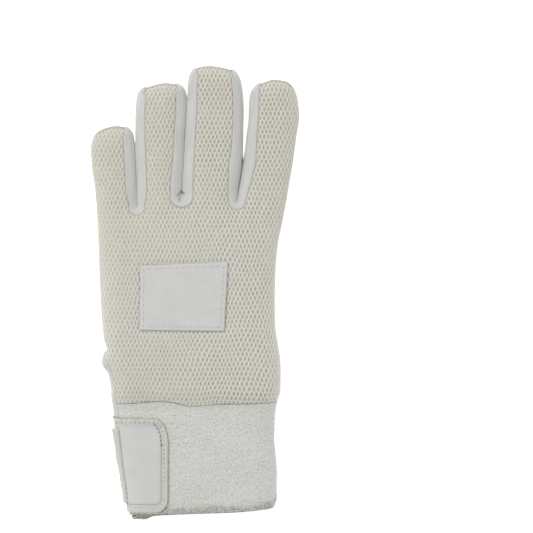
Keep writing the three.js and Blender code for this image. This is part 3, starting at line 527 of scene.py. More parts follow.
class FinishShop:                       # one material and the nodes that make it
    def __init__(self, name, roughness=0.9, specular=0.25, sheen=0.0, sheenTint=(1, 1, 1)):
        self.material = bpy.data.materials.new(name)
        self.material.use_nodes = True
        self.tree = self.material.node_tree
        self.shader = self.tree.nodes["Principled BSDF"]
        looks = {"Roughness": roughness, "Specular IOR Level": specular, "Sheen Weight": sheen,
                 "Sheen Roughness": 0.5, "Sheen Tint": (*sheenTint, 1)}
        for look, value in looks.items():
            self.shader.inputs[look].default_value = value

    def node(self, kind, settings=None, values=None, output=0):
        plugs = {k: value.socket if isinstance(value, Wire) else value for k, value in (values or {}).items()}
        return Wire(self, addNode(self.tree, kind, settings, plugs).outputs[output])

    def mark(self, name):
        return self.node("ShaderNodeAttribute", {"attribute_name": name}).side("Fac")

    def cloth(self):                    # flat coordinates in millimetres
        uv = self.node("ShaderNodeUVMap", {"uv_map": "cloth"})
        split = self.node("ShaderNodeSeparateXYZ", None, {0: uv})
        return split.side("X") * 1000, split.side("Y") * 1000

    def place(self):                    # the piece's own coordinates in millimetres
        return self.scaled(self.node("ShaderNodeTexCoord").side("Object"), (1000, 1000, 1000))

    def scaled(self, vector, by):
        return self.node("ShaderNodeVectorMath", {"operation": "MULTIPLY"}, {0: vector, 1: by})

    def point(self, x, y, z=0):
        return self.node("ShaderNodeCombineXYZ", None, {0: x, 1: y, 2: z})

    def noise(self, at, size, detail=2, roughness=0.5):
        values = {"Vector": at, "Scale": 1 / size, "Detail": detail, "Roughness": roughness}
        return self.node("ShaderNodeTexNoise", None, values).side("Fac")

    def mix(self, share, first, second):
        first = (*first, 1) if isinstance(first, tuple) else first
        second = (*second, 1) if isinstance(second, tuple) else second
        return self.node("ShaderNodeMix", {"data_type": "RGBA"}, {0: share, 6: first, 7: second}, 2)

    def bump(self, height, depth, strength=1):
        values = {"Height": height, "Distance": depth / 1000, "Strength": strength}
        return self.node("ShaderNodeBump", None, values)

    def finish(self, colour, normal=None, roughness=None):
        for place, wire in (("Base Color", colour), ("Normal", normal), ("Roughness", roughness)):
            if wire is not None:
                self.tree.links.new(wire.socket, self.shader.inputs[place])
        return self.material


def paint(r, g, b):                     # a colour as a photograph gives it, as the shader wants it
    return tuple(c / 255 / 12.92 if c < 10.3 else ((c / 255 + 0.055) / 1.055) ** 2.4 for c in (r, g, b))


# how far apart the lines of each cloth are, in millimetres
knit = {"across": 2.4, "along": 5.4, "pit": 0.5, "bundle": 0.12}
fineKnit = {"rib": 0.62, "loop": 0.5}
weave = {"over": 0.9, "thread": 0.45}
strapKnit = 0.8


def meshFinish():
    shop = FinishShop("spacer mesh", roughness=0.85, specular=0.2, sheen=0.12)
    u, v = shop.cloth()
    turnU, turnV = u * (2 * math.pi / knit["across"]), v * (2 * math.pi / knit["along"])
    wave = turnU.cos() * turnV.cos()
    at = shop.place()
    slow, fine = shop.noise(at, 26), shop.noise(at, 0.9, 3, 0.6)
    pull = shop.mark("pull")
    pit = (wave + (fine - 0.5) * 0.5).rise(0.2, 0.95)
    halo = wave.rise(-0.2, 0.6)
    loops = (turnV * 4 + turnU.sin() * 1.5).cos() * 0.5 + 0.5        # the stitches along each strand
    strand = shop.mix(slow.rise(0.3, 0.7), paint(241, 240, 232), paint(243, 240, 229))
    # darker round and in the holes: painted shade in the hollows, partly the darker backing layer seen through
    # them
    strand = shop.mix(wave.rise(-0.5, 0.75) * 0.5, strand, paint(222, 217, 202))
    strand = shop.mix((1 - loops) * 0.18, strand, paint(218, 213, 200))
    strand = shop.mix(fine.rise(0.35, 0.75) * 0.3, strand, paint(216, 212, 198))
    # the pull mark darkens the holes where the knit is stretched open, and more toward the right as painted
    # shade
    colour = shop.mix(pit * (0.06 + pull * 0.5), strand, paint(158, 150, 130))
    # painted shade along the seams, where the mesh rounds down to its neighbours
    edge = shop.mark("seam").rise(0, 1, 0.12, 0)
    colour = shop.mix(edge, colour, paint(150, 144, 124))
    # darker towards the fingers and towards the left
    darkerUpAndLeft = v.rise(100, 205) * 0.24 + (1 - u.rise(-50, 30)) * 0.1
    colour = shop.mix(darkerUpAndLeft, colour, paint(206, 200, 184))
    # darker along the fingertips' top rims
    colour = shop.mix(shop.mark("tip") * 0.55, colour, paint(146, 142, 130))
    height = halo * -0.5 - pit * 0.6 + loops * 0.18 + fine * 0.25
    return shop.finish(colour, shop.bump(height, 0.45, 0.8))


def chamoisFinish():
    shop = FinishShop("chamois", roughness=0.95, specular=0.15, sheen=0.25, sheenTint=(1, 0.95, 0.86))
    at = shop.place()
    big, blotch, grain = shop.noise(at, 30), shop.noise(at, 5, 3), shop.noise(at, 0.45, 4, 0.65)
    nap = shop.noise(shop.scaled(at, (1, 0.35, 1)), 1.6, 3, 0.6)
    colour = shop.mix(big.rise(0.3, 0.7), paint(236, 220, 192), paint(229, 210, 180))
    colour = shop.mix(blotch.rise(0.4, 0.75) * 0.5, colour, paint(240, 228, 205))
    colour = shop.mix(grain.rise(0.35, 0.8) * 0.35, colour, paint(208, 188, 156))
    colour = shop.mix(nap.rise(0.5, 0.8) * 0.25, colour, paint(214, 196, 165))
    # painted shade in the quilting channels and creases
    sunk = shop.mark("sunk").rise(0.05, 1)
    colour = shop.mix(sunk * 0.6, colour, paint(190, 168, 134))
    # painted shade along the seams, where the chamois rounds down
    colour = shop.mix(shop.mark("seam").rise(0, 1.8, 0.5, 0), colour, paint(180, 160, 128))
    height = grain * 0.6 + nap * 0.5 + blotch * 0.4
    return shop.finish(colour, shop.bump(height, 0.25, 0.7))


def knitFinish():
    shop = FinishShop("fine knit", roughness=0.7, specular=0.3, sheen=0.2)
    u, v = shop.cloth()                 # along the strip, across it
    at = shop.place()
    rib = v.wave(fineKnit["rib"]) * 0.5 + 0.5
    turnU, turnV = u * (2 * math.pi / fineKnit["loop"]), v * (2 * math.pi / fineKnit["rib"])
    loop = (turnU + turnV.sin()).cos() * 0.5 + 0.5
    streak = shop.noise(shop.point(u * 0.06, v), 1.1, 2)
    slow = shop.noise(at, 14)
    colour = shop.mix(slow.rise(0.3, 0.7), paint(228, 228, 223), paint(223, 224, 219))
    colour = shop.mix((1 - rib) * 0.18, colour, paint(192, 194, 191))
    colour = shop.mix(streak.rise(0.42, 0.68) * 0.38, colour, paint(203, 206, 205))
    # painted shade along the seams
    colour = shop.mix(shop.mark("seam").rise(0, 0.6, 0.3, 0), colour, paint(170, 170, 160))
    # painted shade in the line where the rolls press together and in the puckers
    colour = shop.mix(shop.mark("sunk") * 0.72, colour, paint(112, 110, 104))
    height = rib * 0.5 + loop * 0.2 + streak * 0.5
    return shop.finish(colour, shop.bump(height, 0.14, 0.7), 0.62 + streak * 0.16)


def towellingFinish():
    shop = FinishShop("towelling", roughness=0.95, specular=0.15, sheen=0.3)
    at = shop.place()
    u, v = shop.cloth()
    flat = shop.point(u, v)
    loops, curl = shop.noise(flat, 1.05, 1, 0.5), shop.noise(flat, 0.42, 2, 0.6)
    patchy, slow = shop.noise(flat, 3.2, 2, 0.5), shop.noise(at, 18)
    colour = shop.mix(slow.rise(0.3, 0.7), paint(234, 234, 228), paint(229, 230, 223))
    # painted shade in the loops' hollows and painted highlight on their tops and curls
    hollow = loops.rise(0.44, 0.74) * (0.46 + patchy.rise(0.4, 0.65) * 0.36)
    colour = shop.mix(hollow, colour, paint(195, 195, 187))
    colour = shop.mix((1 - loops.rise(0.28, 0.48)) * 0.6, colour, paint(250, 251, 248))
    colour = shop.mix(curl.rise(0.48, 0.75) * 0.35, colour, paint(247, 248, 245))
    # dark specks along the hem: painted shade between its loops, and inside the cuff near the mouth
    specks = shop.noise(shop.point(u * 1.2, v), 0.85, 1).rise(0.49, 0.58)
    colour = shop.mix(shop.mark("hem") * specks * 0.95, colour, paint(118, 122, 113))
    # painted shade in the groove above the hem
    colour = shop.mix(shop.mark("sunk") * (0.1 + curl * 0.3), colour, paint(170, 171, 163))
    # painted shade along the seams
    colour = shop.mix(shop.mark("seam").rise(0, 1.4, 0.15, 0), colour, paint(176, 176, 166))
    height = curl * 0.4 - loops * 0.8 + patchy * 0.3
    return shop.finish(colour, shop.bump(height, 0.4, 0.8))


def strapFinish():
    shop = FinishShop("strap cloth", roughness=0.85, specular=0.2, sheen=0.15)
    u, v = shop.cloth()
    at = shop.place()
    knitLine = u.wave(strapKnit) * v.wave(strapKnit)
    fuzz = shop.noise(at, 0.6, 3, 0.6)
    pile, broken = shop.noise(shop.point(u, v), 0.9, 1), shop.noise(at, 1.6, 1)
    colour = shop.mix(shop.noise(at, 12).rise(0.3, 0.7), paint(236, 236, 230), paint(231, 231, 224))
    colour = shop.mix(pile.rise(0.42, 0.7) * 0.45, colour, paint(204, 204, 196))
    colour = shop.mix(fuzz.rise(0.4, 0.75) * 0.25, colour, paint(208, 206, 196))
    rough = v.rise(53.5, 56)            # its upper border is coarser
    # on the coarse border, painted shade in the pile's dips and painted highlight on its tops
    colour = shop.mix(rough * pile.rise(0.48, 0.6) * 0.3, colour, paint(176, 174, 163))
    colour = shop.mix(rough * pile.rise(0.34, 0.44, 0.5, 0), colour, paint(250, 250, 246))
    line = shop.mark("seam").rise(0.2, 0.6, 0.9, 0) * broken.rise(0.3, 0.6, 0.35, 1)
    colour = shop.mix(line, colour, paint(188, 184, 156))
    # painted shade in the stitched grooves and beside the patch's left edge
    colour = shop.mix(shop.mark("sunk") * 0.5, colour, paint(190, 189, 180))
    height = knitLine * 0.3 + fuzz * 0.6 - pile * 0.7
    return shop.finish(colour, shop.bump(height, 0.22, 0.8))


def wovenFinish(name, warm=0):
    shop = FinishShop(name, roughness=0.55, specular=0.35, sheen=0.05)
    u, v = shop.cloth()
    at = shop.place()
    over = u.wave(weave["over"]) * v.wave(weave["over"])
    thread = v.wave(weave["thread"]) * 0.5 + 0.5
    slow = shop.noise(at, 9, 2)
    fray = shop.noise(shop.point(u * 0.2, v), 0.7, 2)
    light = paint(230 - warm, 229 - warm, 227 - 2 * warm)
    dull = paint(225 - warm, 225 - warm, 223 - 2 * warm)
    colour = shop.mix(slow.rise(0.3, 0.7), light, dull)
    colour = shop.mix(over.rise(-0.6, 0.9) * 0.16, colour, paint(206, 208, 208))
    # painted shade along the rims, where the plate rounds down
    colour = shop.mix(shop.mark("seam").rise(0, 0.7, 0.5, 0), colour, paint(190, 190, 182))
    # painted shade in the stitch grooves
    colour = shop.mix(shop.mark("sunk").rise(0.1, 1) * 0.2, colour, paint(196, 196, 192))
    # painted shadow of the folded strap along the patch's left edge, broken up by the fray noise
    colour = shop.mix(shop.mark("tuck") * (0.5 + fray * 0.5), colour, paint(146, 146, 142))
    height = over * 0.35 + thread * 0.25 + fray * 0.3
    return shop.finish(colour, shop.bump(height, 0.08, 0.6), 0.5 + fray * 0.15)


def loopFinish():
    shop = FinishShop("loop fabric", roughness=0.95, specular=0.15, sheen=0.35)
    at = shop.place()
    fuzz, clump = shop.noise(at, 0.35, 4, 0.7), shop.noise(at, 1.4, 3, 0.6)
    colour = shop.mix(clump.rise(0.35, 0.7), paint(232, 228, 212), paint(222, 217, 198))
    colour = shop.mix(fuzz.rise(0.45, 0.75) * 0.5, colour, paint(198, 192, 172))
    # painted shade along the rims
    colour = shop.mix(shop.mark("seam").rise(0, 1, 0.5, 0), colour, paint(190, 184, 164))
    return shop.finish(colour, shop.bump(fuzz * 0.7 + clump * 0.4, 0.35, 0.8))


def threadFinish(name, r, g, b):
    shop = FinishShop(name, roughness=0.6, specular=0.3, sheen=0.1)
    at = shop.place()
    twist = shop.noise(shop.scaled(at, (1, 1, 3)), 0.25, 3)
    colour = shop.mix(twist.rise(0.3, 0.7), paint(r, g, b), paint(r - 22, g - 22, b - 22))
    return shop.finish(colour, shop.bump(twist, 0.05, 0.6))


threads = {
    "thread": ("white thread", 226, 227, 222), "greyThread": ("shaded thread", 212, 212, 208),
    "creamThread": ("cream thread", 216, 200, 168), "badgeThread": ("badge thread", 202, 202, 198),
    "hemThread": ("overlock thread", 222, 223, 217),
    # needle marks are dark beads: needle holes with painted shade in them; the darker ones are painted shadow
    # under the patch's lifted corner
    "pit": ("needle marks", 138, 137, 130), "shadowedPit": ("needle marks in painted shadow", 104, 103, 98),
}
finishes = {
    "mesh": meshFinish(), "chamois": chamoisFinish(), "knit": knitFinish(), "towelling": towellingFinish(),
    "strap": strapFinish(), "patch": wovenFinish("woven patch"), "tab": wovenFinish("tab face", 2),
    "loop": loopFinish(), "badge": wovenFinish("badge cloth"),
    **{key: threadFinish(*look) for key, look in threads.items()},
}
print("finishes ready")


# Back of the hand, in spacer mesh
backMesh = {"stepU": 0.4, "stepV": 0.675, "swell": 0.55, "overCuff": 0.65, "round": 0.4, "cuffGap": 0.05}
handSpan = (-66, 66), (64, 266)         # what the patterns of back and palm are cut from
# where each edge of the badge lies from its middle, and how it leans
badge = {"left": (24.8, -0.032), "right": (24.2, 0.075), "low": (19, 0.033), "high": (19, 0.022),
         "halfX": 25, "halfY": 18.75, "x": -6, "y": 127.6, "turn": 0.02, "corner": 0.8,
         "wall": 0.6, "lift": 0.3, "stitchIn": 2.3, "sunk": 0.07, "round": 0.35, "seed": 75}


cuffWaver = SmoothTable([-60, -43, -18, -1, 14, 33, 46, 60], [0.2, 0.2, 1.6, -1.1, 0.0, 0.3, 1.0, 1.0])


def cuffLine(u):                        # the seam of the mesh with the cuff
    return cuffTop + cuffWaver(u)


def badgeAt(u, v):                      # a point in the badge's own measure
    x, y = u - badge["x"], v - badge["y"]
    return x + badge["turn"] * y, y - badge["turn"] * x


def cornerField(a, b, reachA, reachB):              # distance inside a corner rounded to a quarter ellipse
    bent = min(reachA, reachB) * (1 - np.hypot(np.maximum(1 - a / reachA, 0), np.maximum(1 - b / reachB, 0)))
    return np.where((a < reachA) & (b < reachB), bent, np.minimum(a, b))


# a corner reaches across, down from the top and up from the foot
def roundedBox(left, right, low, high, corner):
    wide, upper, lower = corner
    return np.minimum.reduce([cornerField(left, low, wide, lower), cornerField(left, high, wide, upper),
                              cornerField(right, low, wide, lower), cornerField(right, high, wide, upper)])


def badgeField(u, v):
    x, y = badgeAt(u, v)
    edges = (("left", y), ("right", y), ("low", x), ("high", x))
    left, right, low, high = [badge[edge][0] + badge[edge][1] * along for edge, along in edges]
    return roundedBox(left + x, right - x, low + y, high - y, (badge["corner"],) * 3)


def warped(u, v):                       # the knit's lines waver a little
    shakeU = 0.6 * softNoise(u, v, 12, 11) + 0.3 * softNoise(u, v, 4.6, 12)
    shakeV = 0.7 * softNoise(u, v, 14, 13) + 0.3 * softNoise(u, v, 5, 14)
    return u + shakeU, v + shakeV


def knitRelief(u, v, pull):
    across, along = warped(u, v)
    wave = np.cos(2 * np.pi * across / knit["across"]) * np.cos(2 * np.pi * along / knit["along"])
    deep = knit["pit"] * (0.45 + 0.9 * pull)
    return -deep * smoothStep(0, 0.95, wave) + knit["bundle"] * smoothStep(0, 1, -wave)


def backRelief(u, v, f):
    foot = hand.nearest(u, v)
    nearFork = foot.fork * np.exp(-np.clip(f, 0, 30) / 5)
    # pull also darkens the holes in the mesh's finish; its rise toward the right is partly painted shade
    pull = 0.2 + 0.52 * smoothStep(-30, 34, u) * smoothStep(-2, 9, foot.inside) + 0.3 * nearFork
    pull = pull + 0.12 * smoothStep(185, 205, v)
    pull = pull + 0.14 * softNoise(u, v, 18, 21) + 0.3 * softNoise(u, v, 3.3, 25)
    pull = pull - 0.25 * smoothStep(8, -1, foot.inside)
    above = v - cuffLine(u)
    pull = pull - 0.4 * np.exp(-above / 2.4)
    lines = knitRelief(u, v, np.clip(pull, 0, 1))
    swell = backMesh["swell"] * (0.8 * softNoise(u + 9, v, 40, 22) + 0.35 * softNoise(u, v, 17, 23))
    swell = swell * smoothStep(-4, 9, foot.inside) * smoothStep(0, 6, f)
    swell = swell - 0.4 * smoothStep(4, -3, foot.inside) * smoothStep(205, 190, v)
    gather = 0.35 * softNoise(u, v * 0.25, 6.5, 24) * np.exp(-above / 7)
    slack = 0.2 + 0.8 * smoothStep(-40, -12, u)
    hang = backMesh["overCuff"] * slack * np.exp(-((above - 4.5) / 4.5) ** 2) + gather
    hang = hang - 1.5 * np.exp(-((v - 98) / 3.5) ** 2 - ((u + 57) / 6) ** 2)
    pressed = 0.45 * smoothStep(-3.5, 0.5, badgeField(u, v))
    lines = lines * smoothStep(0.3, 1.8, f) * smoothStep(-1.5, 2.5, foot.inside)
    total = lines + swell + hang - pressed - roundOver(f, backMesh["round"])
    # the tip mark darkens the mesh along the fingertips' top rims
    onTip = smoothStep(1.5, -1.0, foot.inside) * smoothStep(208, 218, v)
    tip = onTip * smoothStep(0.9, 0.3, foot.fork) * smoothStep(0.35, 0.8, -foot.inY)
    return total, {"pull": np.clip(pull, 0, 1), "tip": tip}


def backField(u, v):
    return np.minimum(hand.insideSeam(u, v, 1), v - cuffLine(u) - backMesh["cuffGap"])


def gridAxes(spans, *steps):            # the grid's lines lie at whole steps
    return [np.arange(math.floor(low / step), math.ceil(high / step) + 1) * step
            for (low, high), step in zip(spans, steps)]


backCloth = CutCloth(*gridAxes(handSpan, backMesh["stepU"], backMesh["stepV"]), backField, hand)
laid = layCloth(backCloth, hand.over(1), wallOf["mesh"], backRelief, 16)
laid.redraw(warped)
makePiece("back_mesh", laid, finishes["mesh"], "spacer_mesh", ["back_panel"])


# Palm and finger fronts, in quilted chamois
palmChamois = {"step": 0.8, "channel": 1.2, "channelWidth": 1.5, "puff": 0.9, "round": 1.2, "cuffGap": 0.3,
               "coarse": 2.2, "held": 1.2, "stiffness": 12, "pressure": 0.45, "slack": 0.004, "frames": 20,
               "cap": 1.9, "capAtThumb": 0.75}
# from x, to x, two points of the seam
fingerQuilts = [
    ((-70, -33), (-60, 186), (-33, 187)), ((-70, -33), (-60, 204), (-33, 205)),
    ((-33, -6), (-33, 200), (-6, 201)), ((-33, -6), (-33, 221), (-6, 222)),
    ((-6, 26.5), (-6, 204), (27, 205)), ((-6, 26.5), (-6, 227), (27, 226)),
    ((26.5, 70), (27, 211), (60, 208)), ((26.5, 70), (27, 232), (60, 229)),
]
palmQuilt = SmoothTable([-60, -24, 2, 16, 30, 60], [160, 162, 166.5, 170, 176, 177])
thumbHole = {"x": 29, "y": 121, "halfX": 8, "halfY": 23, "stitchX": 3.2, "stitchY": 3}


def quiltAt(left, right, u):            # the height of a straight seam
    return left[1] + (right[1] - left[1]) / (right[0] - left[0]) * (u - left[0])


def quiltDistance(u, v):
    gaps = [np.abs(v - palmQuilt(u))]
    for (low, high), left, right in fingerQuilts:
        gap = np.abs(v - quiltAt(left, right, u))
        gaps.append(np.where((v > 180) & (u > low) & (u < high), gap, 99))
    return np.minimum.reduce(gaps)


def palmField(u, v):
    hole = np.hypot((u - thumbHole["x"]) / thumbHole["halfX"], (v - thumbHole["y"]) / thumbHole["halfY"]) - 1
    return np.minimum.reduce([hand.insideSeam(u, v, -1), v - cuffTop - palmChamois["cuffGap"],
                              hole * thumbHole["halfX"]])


def crease(u, v, x0, y0, x1, y1, width):            # how near a point is to a soft fold line
    runX, runY = x1 - x0, y1 - y0
    t = np.clip(((u - x0) * runX + (v - y0) * runY) / (runX ** 2 + runY ** 2), 0, 1)
    away = np.hypot(u - x0 - t * runX, v - y0 - t * runY)
    return np.exp(-(away / width) ** 2) * smoothStep(0, 0.25, t) * smoothStep(1, 0.75, t)


def blowUp(u, v, f):                    # the palm, held at its seams, swells under pressure
    coarse = palmChamois["coarse"]
    cloth = CutCloth(*gridAxes(handSpan, coarse, coarse), palmField, hand)
    enlarge = 0.01                      # millimetres to units, ten times life size, which the solver likes
    rest = hand.place(cloth.u, cloth.v, -1, 0) * enlarge
    quads = cloth.quads[:, ::-1]
    mesh = bpy.data.meshes.new("palm_blank")
    mesh.from_pydata(rest.tolist(), [], quads.tolist())
    blank = hung("palm_blank", mesh)
    held = blank.vertex_groups.new(name="held")
    sewn = (cloth.f < palmChamois["held"]) | (quiltDistance(cloth.u, cloth.v) < coarse * 0.6)
    held.add(np.nonzero(sewn)[0].tolist(), 1, "REPLACE")
    modifier = blank.modifiers.new("stuffing", "CLOTH")
    settings = modifier.settings
    settings.vertex_group_mass = "held"
    settings.quality, settings.mass = 6, 0.3
    settings.tension_stiffness = settings.compression_stiffness = palmChamois["stiffness"]
    settings.shear_stiffness = palmChamois["stiffness"]
    settings.bending_stiffness, settings.air_damping = 0.4, 2
    settings.use_pressure, settings.uniform_pressure_force = True, palmChamois["pressure"]
    settings.shrink_min = -palmChamois["slack"]
    settings.effector_weights.gravity = 0
    modifier.point_cache.frame_start, modifier.point_cache.frame_end = 1, palmChamois["frames"]
    for number in range(1, palmChamois["frames"] + 1):
        bpy.context.scene.frame_set(number)
    swollen = blank.evaluated_get(bpy.context.evaluated_depsgraph_get()).data
    points = np.empty(len(rest) * 3)
    swollen.vertices.foreach_get("co", points)
    normals = cornerNormals(rest, quads)
    rise = ((points.reshape(-1, 3) - rest) * normals).sum(1) / enlarge
    bpy.data.objects.remove(blank)
    bpy.data.meshes.remove(mesh)
    bpy.context.scene.frame_set(1)
    print("palm swelled by", round(float(rise.max()), 2), "mm at most,",
          round(float(rise.mean()), 2), "on average")
    tree = kdtree.KDTree(len(rest))
    for k, (a, b) in enumerate(zip(cloth.u.tolist(), cloth.v.tolist())):
        tree.insert((a, b, 0), k)
    tree.balance()
    puff = np.empty(len(u))
    for k, (a, b) in enumerate(zip(u.tolist(), v.tolist())):
        near = tree.find_n((a, b, 0), 5)
        weights = [1 / (away + 0.3) ** 2 for _, _, away in near]
        puff[k] = sum(w * rise[n] for w, (_, n, _) in zip(weights, near)) / sum(weights)
    overThumb = smoothStep(-5, 2, thumb.nearest(u, v).inside)
    cap = between(palmChamois["cap"], palmChamois["capAtThumb"], overThumb)
    return cap * np.tanh(puff.clip(0) / cap) * smoothStep(0, 3, f) * smoothStep(0.3, 3.2, quiltDistance(u, v))


def palmRelief(u, v, f):
    gap = quiltDistance(u, v)
    channel = np.exp(-(gap / palmChamois["channelWidth"]) ** 2)
    puff = blowUp(u, v, f)
    pucker = 0.16 * softNoise(u * 1.4, v * 0.2, 3.1, 31) * np.exp(-(gap / 4.5) ** 2)
    folds = 0.9 * crease(u, v, 15.5, 168, 20, 150, 2.2) + 0.8 * crease(u, v, 36, 90, 44, 72, 2.5)
    folds = folds + 0.6 * crease(u, v, -46, 98, -28, 84, 3) + 0.5 * crease(u, v, -20, 92, 6, 74, 3)
    swell = 0.5 * softNoise(u, v, 30, 32) + 0.25 * softNoise(u, v, 11, 33) + 0.06 * softNoise(u, v, 3, 34)
    swell = swell * smoothStep(0, 8, f)
    # the sunk mark is painted shade in the channels and creases, in the chamois finish
    sunk = np.clip(channel + 0.6 * folds, 0, 1)
    total = puff + pucker + swell - palmChamois["channel"] * channel - folds
    return total - roundOver(f, palmChamois["round"]), {"sunk": sunk}


palmCloth = CutCloth(*gridAxes(handSpan, palmChamois["step"], palmChamois["step"]), palmField, hand)
laid = layCloth(palmCloth, hand.over(-1), wallOf["chamois"], palmRelief, 10)
palm = makePiece("palm_chamois", laid, finishes["chamois"], "chamois", ["palm_panel"])


# Strips along the outline: the fourchettes between the fingers and the gusset at the wrist
strips = {"margin": 0.4, "end": 3, "stepAlong": 0.6, "fullWidth": 21, "puff": 0.8, "round": 0.45,
          "forksFrom": 170, "forkColumns": 41, "gussetFrom": 3, "gussetColumns": 17}
# from x, to x, how high the two rolls press on each other, over how long they part,
# how dark the painted shade in the line between them is and how broad
forks = {"little_ring": (-41, -27.5, 219, 7, 0.08, 0.16), "ring_middle": (-13, 0.5, 245, 6, 0.7, 0.16),
         "middle_index": (20, 39, 211, 12, 1.6, 0.25)}
pucker = [(-7.4, 188.6, -10.4, 184.2), (-7.2, 187.4, -4.9, 185.9), (-8.8, 184.6, -8.2, 181.5)]


def stripFeet(rows, step, turnStep=0.09):           # feet along the outline, closer where it turns
    at, heading = hand.at[rows], hand.heading[rows]
    effort = np.maximum(np.diff(at) / step, np.abs(np.diff(heading)) / turnStep)
    effort = np.concatenate([[0], np.cumsum(effort)])
    return hand.alongOutline(np.interp(np.linspace(0, effort[-1], math.ceil(effort[-1]) + 1), effort, at))


def seamAngles(at):                     # of the strip's two seams, on the back and under it
    back = sideSeam + at.fork * (forkSeam - sideSeam) + at.vent * (ventSeam[1] - sideSeam)
    under = sideSeam - at.fork * (forkSeam + sideSeam) - at.vent * (ventSeam[-1] + sideSeam)
    return back, under


def edgeStrip(name, chosen, wall, columns, relief, nodes):
    margin = strips["margin"]
    back, under = seamAngles(hand)
    rows = np.nonzero(chosen & (back - under - 2 * margin > strips["end"]))[0]
    feet = stripFeet(rows, strips["stepAlong"])
    backs, unders = seamAngles(feet)
    widths = (backs - unders - 2 * margin) / (2 * forkSeam) * strips["fullWidth"]
    along = lengthAlong(np.stack([feet.x, feet.y], 1))
    count, headings = len(feet.x), np.unwrap(np.arctan2(feet.inY, feet.inX))

    def placeAt(i, share, depth):
        row = np.floor(i).astype(int).clip(0, count - 2)
        x, y, heading, low, high = [between(c[row], c[row + 1], i - row)
                                    for c in (feet.x, feet.y, headings, unders + margin, backs - margin)]
        foot = Foot(x, y, np.cos(heading), np.sin(heading))
        return hand.onEdge(foot, np.radians(between(low, high, share)), depth)

    def atRows(u, column):
        return np.interp(u, np.arange(count), column)

    cloth = CutCloth(np.arange(count).astype(float), np.linspace(0, 1, columns))
    width, length = atRows(cloth.u, widths), atRows(cloth.u, along)
    ends = 0.4                          # the strip's ends are rounded less than its long edges
    cloth.f = np.minimum.reduce([cloth.v * width, (1 - cloth.v) * width,
                                 length + ends, along[-1] - length + ends])
    cloth.foot = (atRows(cloth.u, feet.x), atRows(cloth.u, feet.y))
    cloth.spot = placeAt(cloth.u, cloth.v, 0)
    laid = layCloth(cloth, placeAt, wall, lambda u, v, f: relief(cloth, length, width, f), 0, (4, 0.25))
    laid.redraw(lambda u, v: (atRows(u, along), (v - 0.5) * atRows(u, widths)))
    return makePiece(name, laid, finishes["knit"], "fine_knit", nodes)


def pressing(rows, top, fade):                      # how far each roll swells until it meets its neighbour
    foot = rows[np.argmin(hand.y[rows])]
    before, after = rows[rows <= foot][::-1], rows[rows >= foot]
    y = np.arange(hand.y[foot], top, 0.5)
    gap = np.interp(y, hand.y[after], hand.x[after]) - np.interp(y, hand.y[before], hand.x[before])
    share = smoothStep(top, top - fade, y) * smoothStep(hand.y[foot] - 1, hand.y[foot] + 2, y)
    return lambda at: np.interp(at, y, (gap / 2 - 0.03) * share, right=0)


def forkRelief(press, dark, broad):
    def relief(cloth, length, width, f):
        slope = np.abs(cloth.v - 0.5) * 2           # 0 on the finger's side line, 1 at the seams
        roll = strips["puff"] * np.sin(np.pi * np.clip(slope, 0, 1)) ** 0.8 * smoothStep(2, 12, width)
        closed = press(cloth.foot[1])
        roll = roll + closed * np.cos(np.pi / 2 * slope) ** 5
        across = cloth.v * width
        streak = 0.12 * softNoise(length * 0.05, across, 1.5, 41) + 0.16 * softNoise(length, across, 9, 42)
        spotX, spotY, _ = cloth.spot.T
        folds = sum(crease(spotX, spotY, *line, 0.42) for line in pucker) * (cloth.v > 0.5)
        soft = roll + streak * smoothStep(0, 2, f) - 0.75 * folds.clip(0, 1) - roundOver(f, strips["round"])
        # the sunk mark is painted shade in the line where the rolls meet and in the puckers
        valley = dark * smoothStep(0, 0.3, closed) * np.exp(-(slope / broad) ** 2)
        return soft, {"sunk": np.maximum(0.6 * folds, valley).clip(0, 1.2)}
    return relief


for strip, (low, high, top, fade, dark, broad) in forks.items():
    chosen = (hand.y > strips["forksFrom"]) & (hand.x > low) & (hand.x < high)
    lean = forkRelief(pressing(np.nonzero(chosen & (hand.y < top))[0], top, fade), dark, broad)
    node = "fourchette_" + strip
    edgeStrip(node + "_knit", chosen, wallOf["fork"], strips["forkColumns"], lean, [node])


gussetBulge = SmoothTable([60, 65, 71, 77, 84, 90.5, 95, 98], [-0.5, -0.9, -0.5, -1.8, -0.9, 0.5, -0.1, -1.4])


def gussetRelief(cloth, length, width, f):
    y = cloth.foot[1]
    bulge = gussetBulge(y) + 0.3 * np.sin(np.pi * cloth.v)
    waver = 0.3 * softNoise(y, cloth.v * 4, 7, 43) + 0.1 * softNoise(y, cloth.v * 8, 2.5, 44)
    return (bulge + waver) * smoothStep(0, 2.5, f) - roundOver(f, 1.0), {}


chosen = (hand.x < 0) & (hand.y > strips["gussetFrom"]) & (hand.y < handStart)
edgeStrip("wrist_gusset_knit", chosen, wallOf["vent"], strips["gussetColumns"], gussetRelief, ["wrist_gusset"])


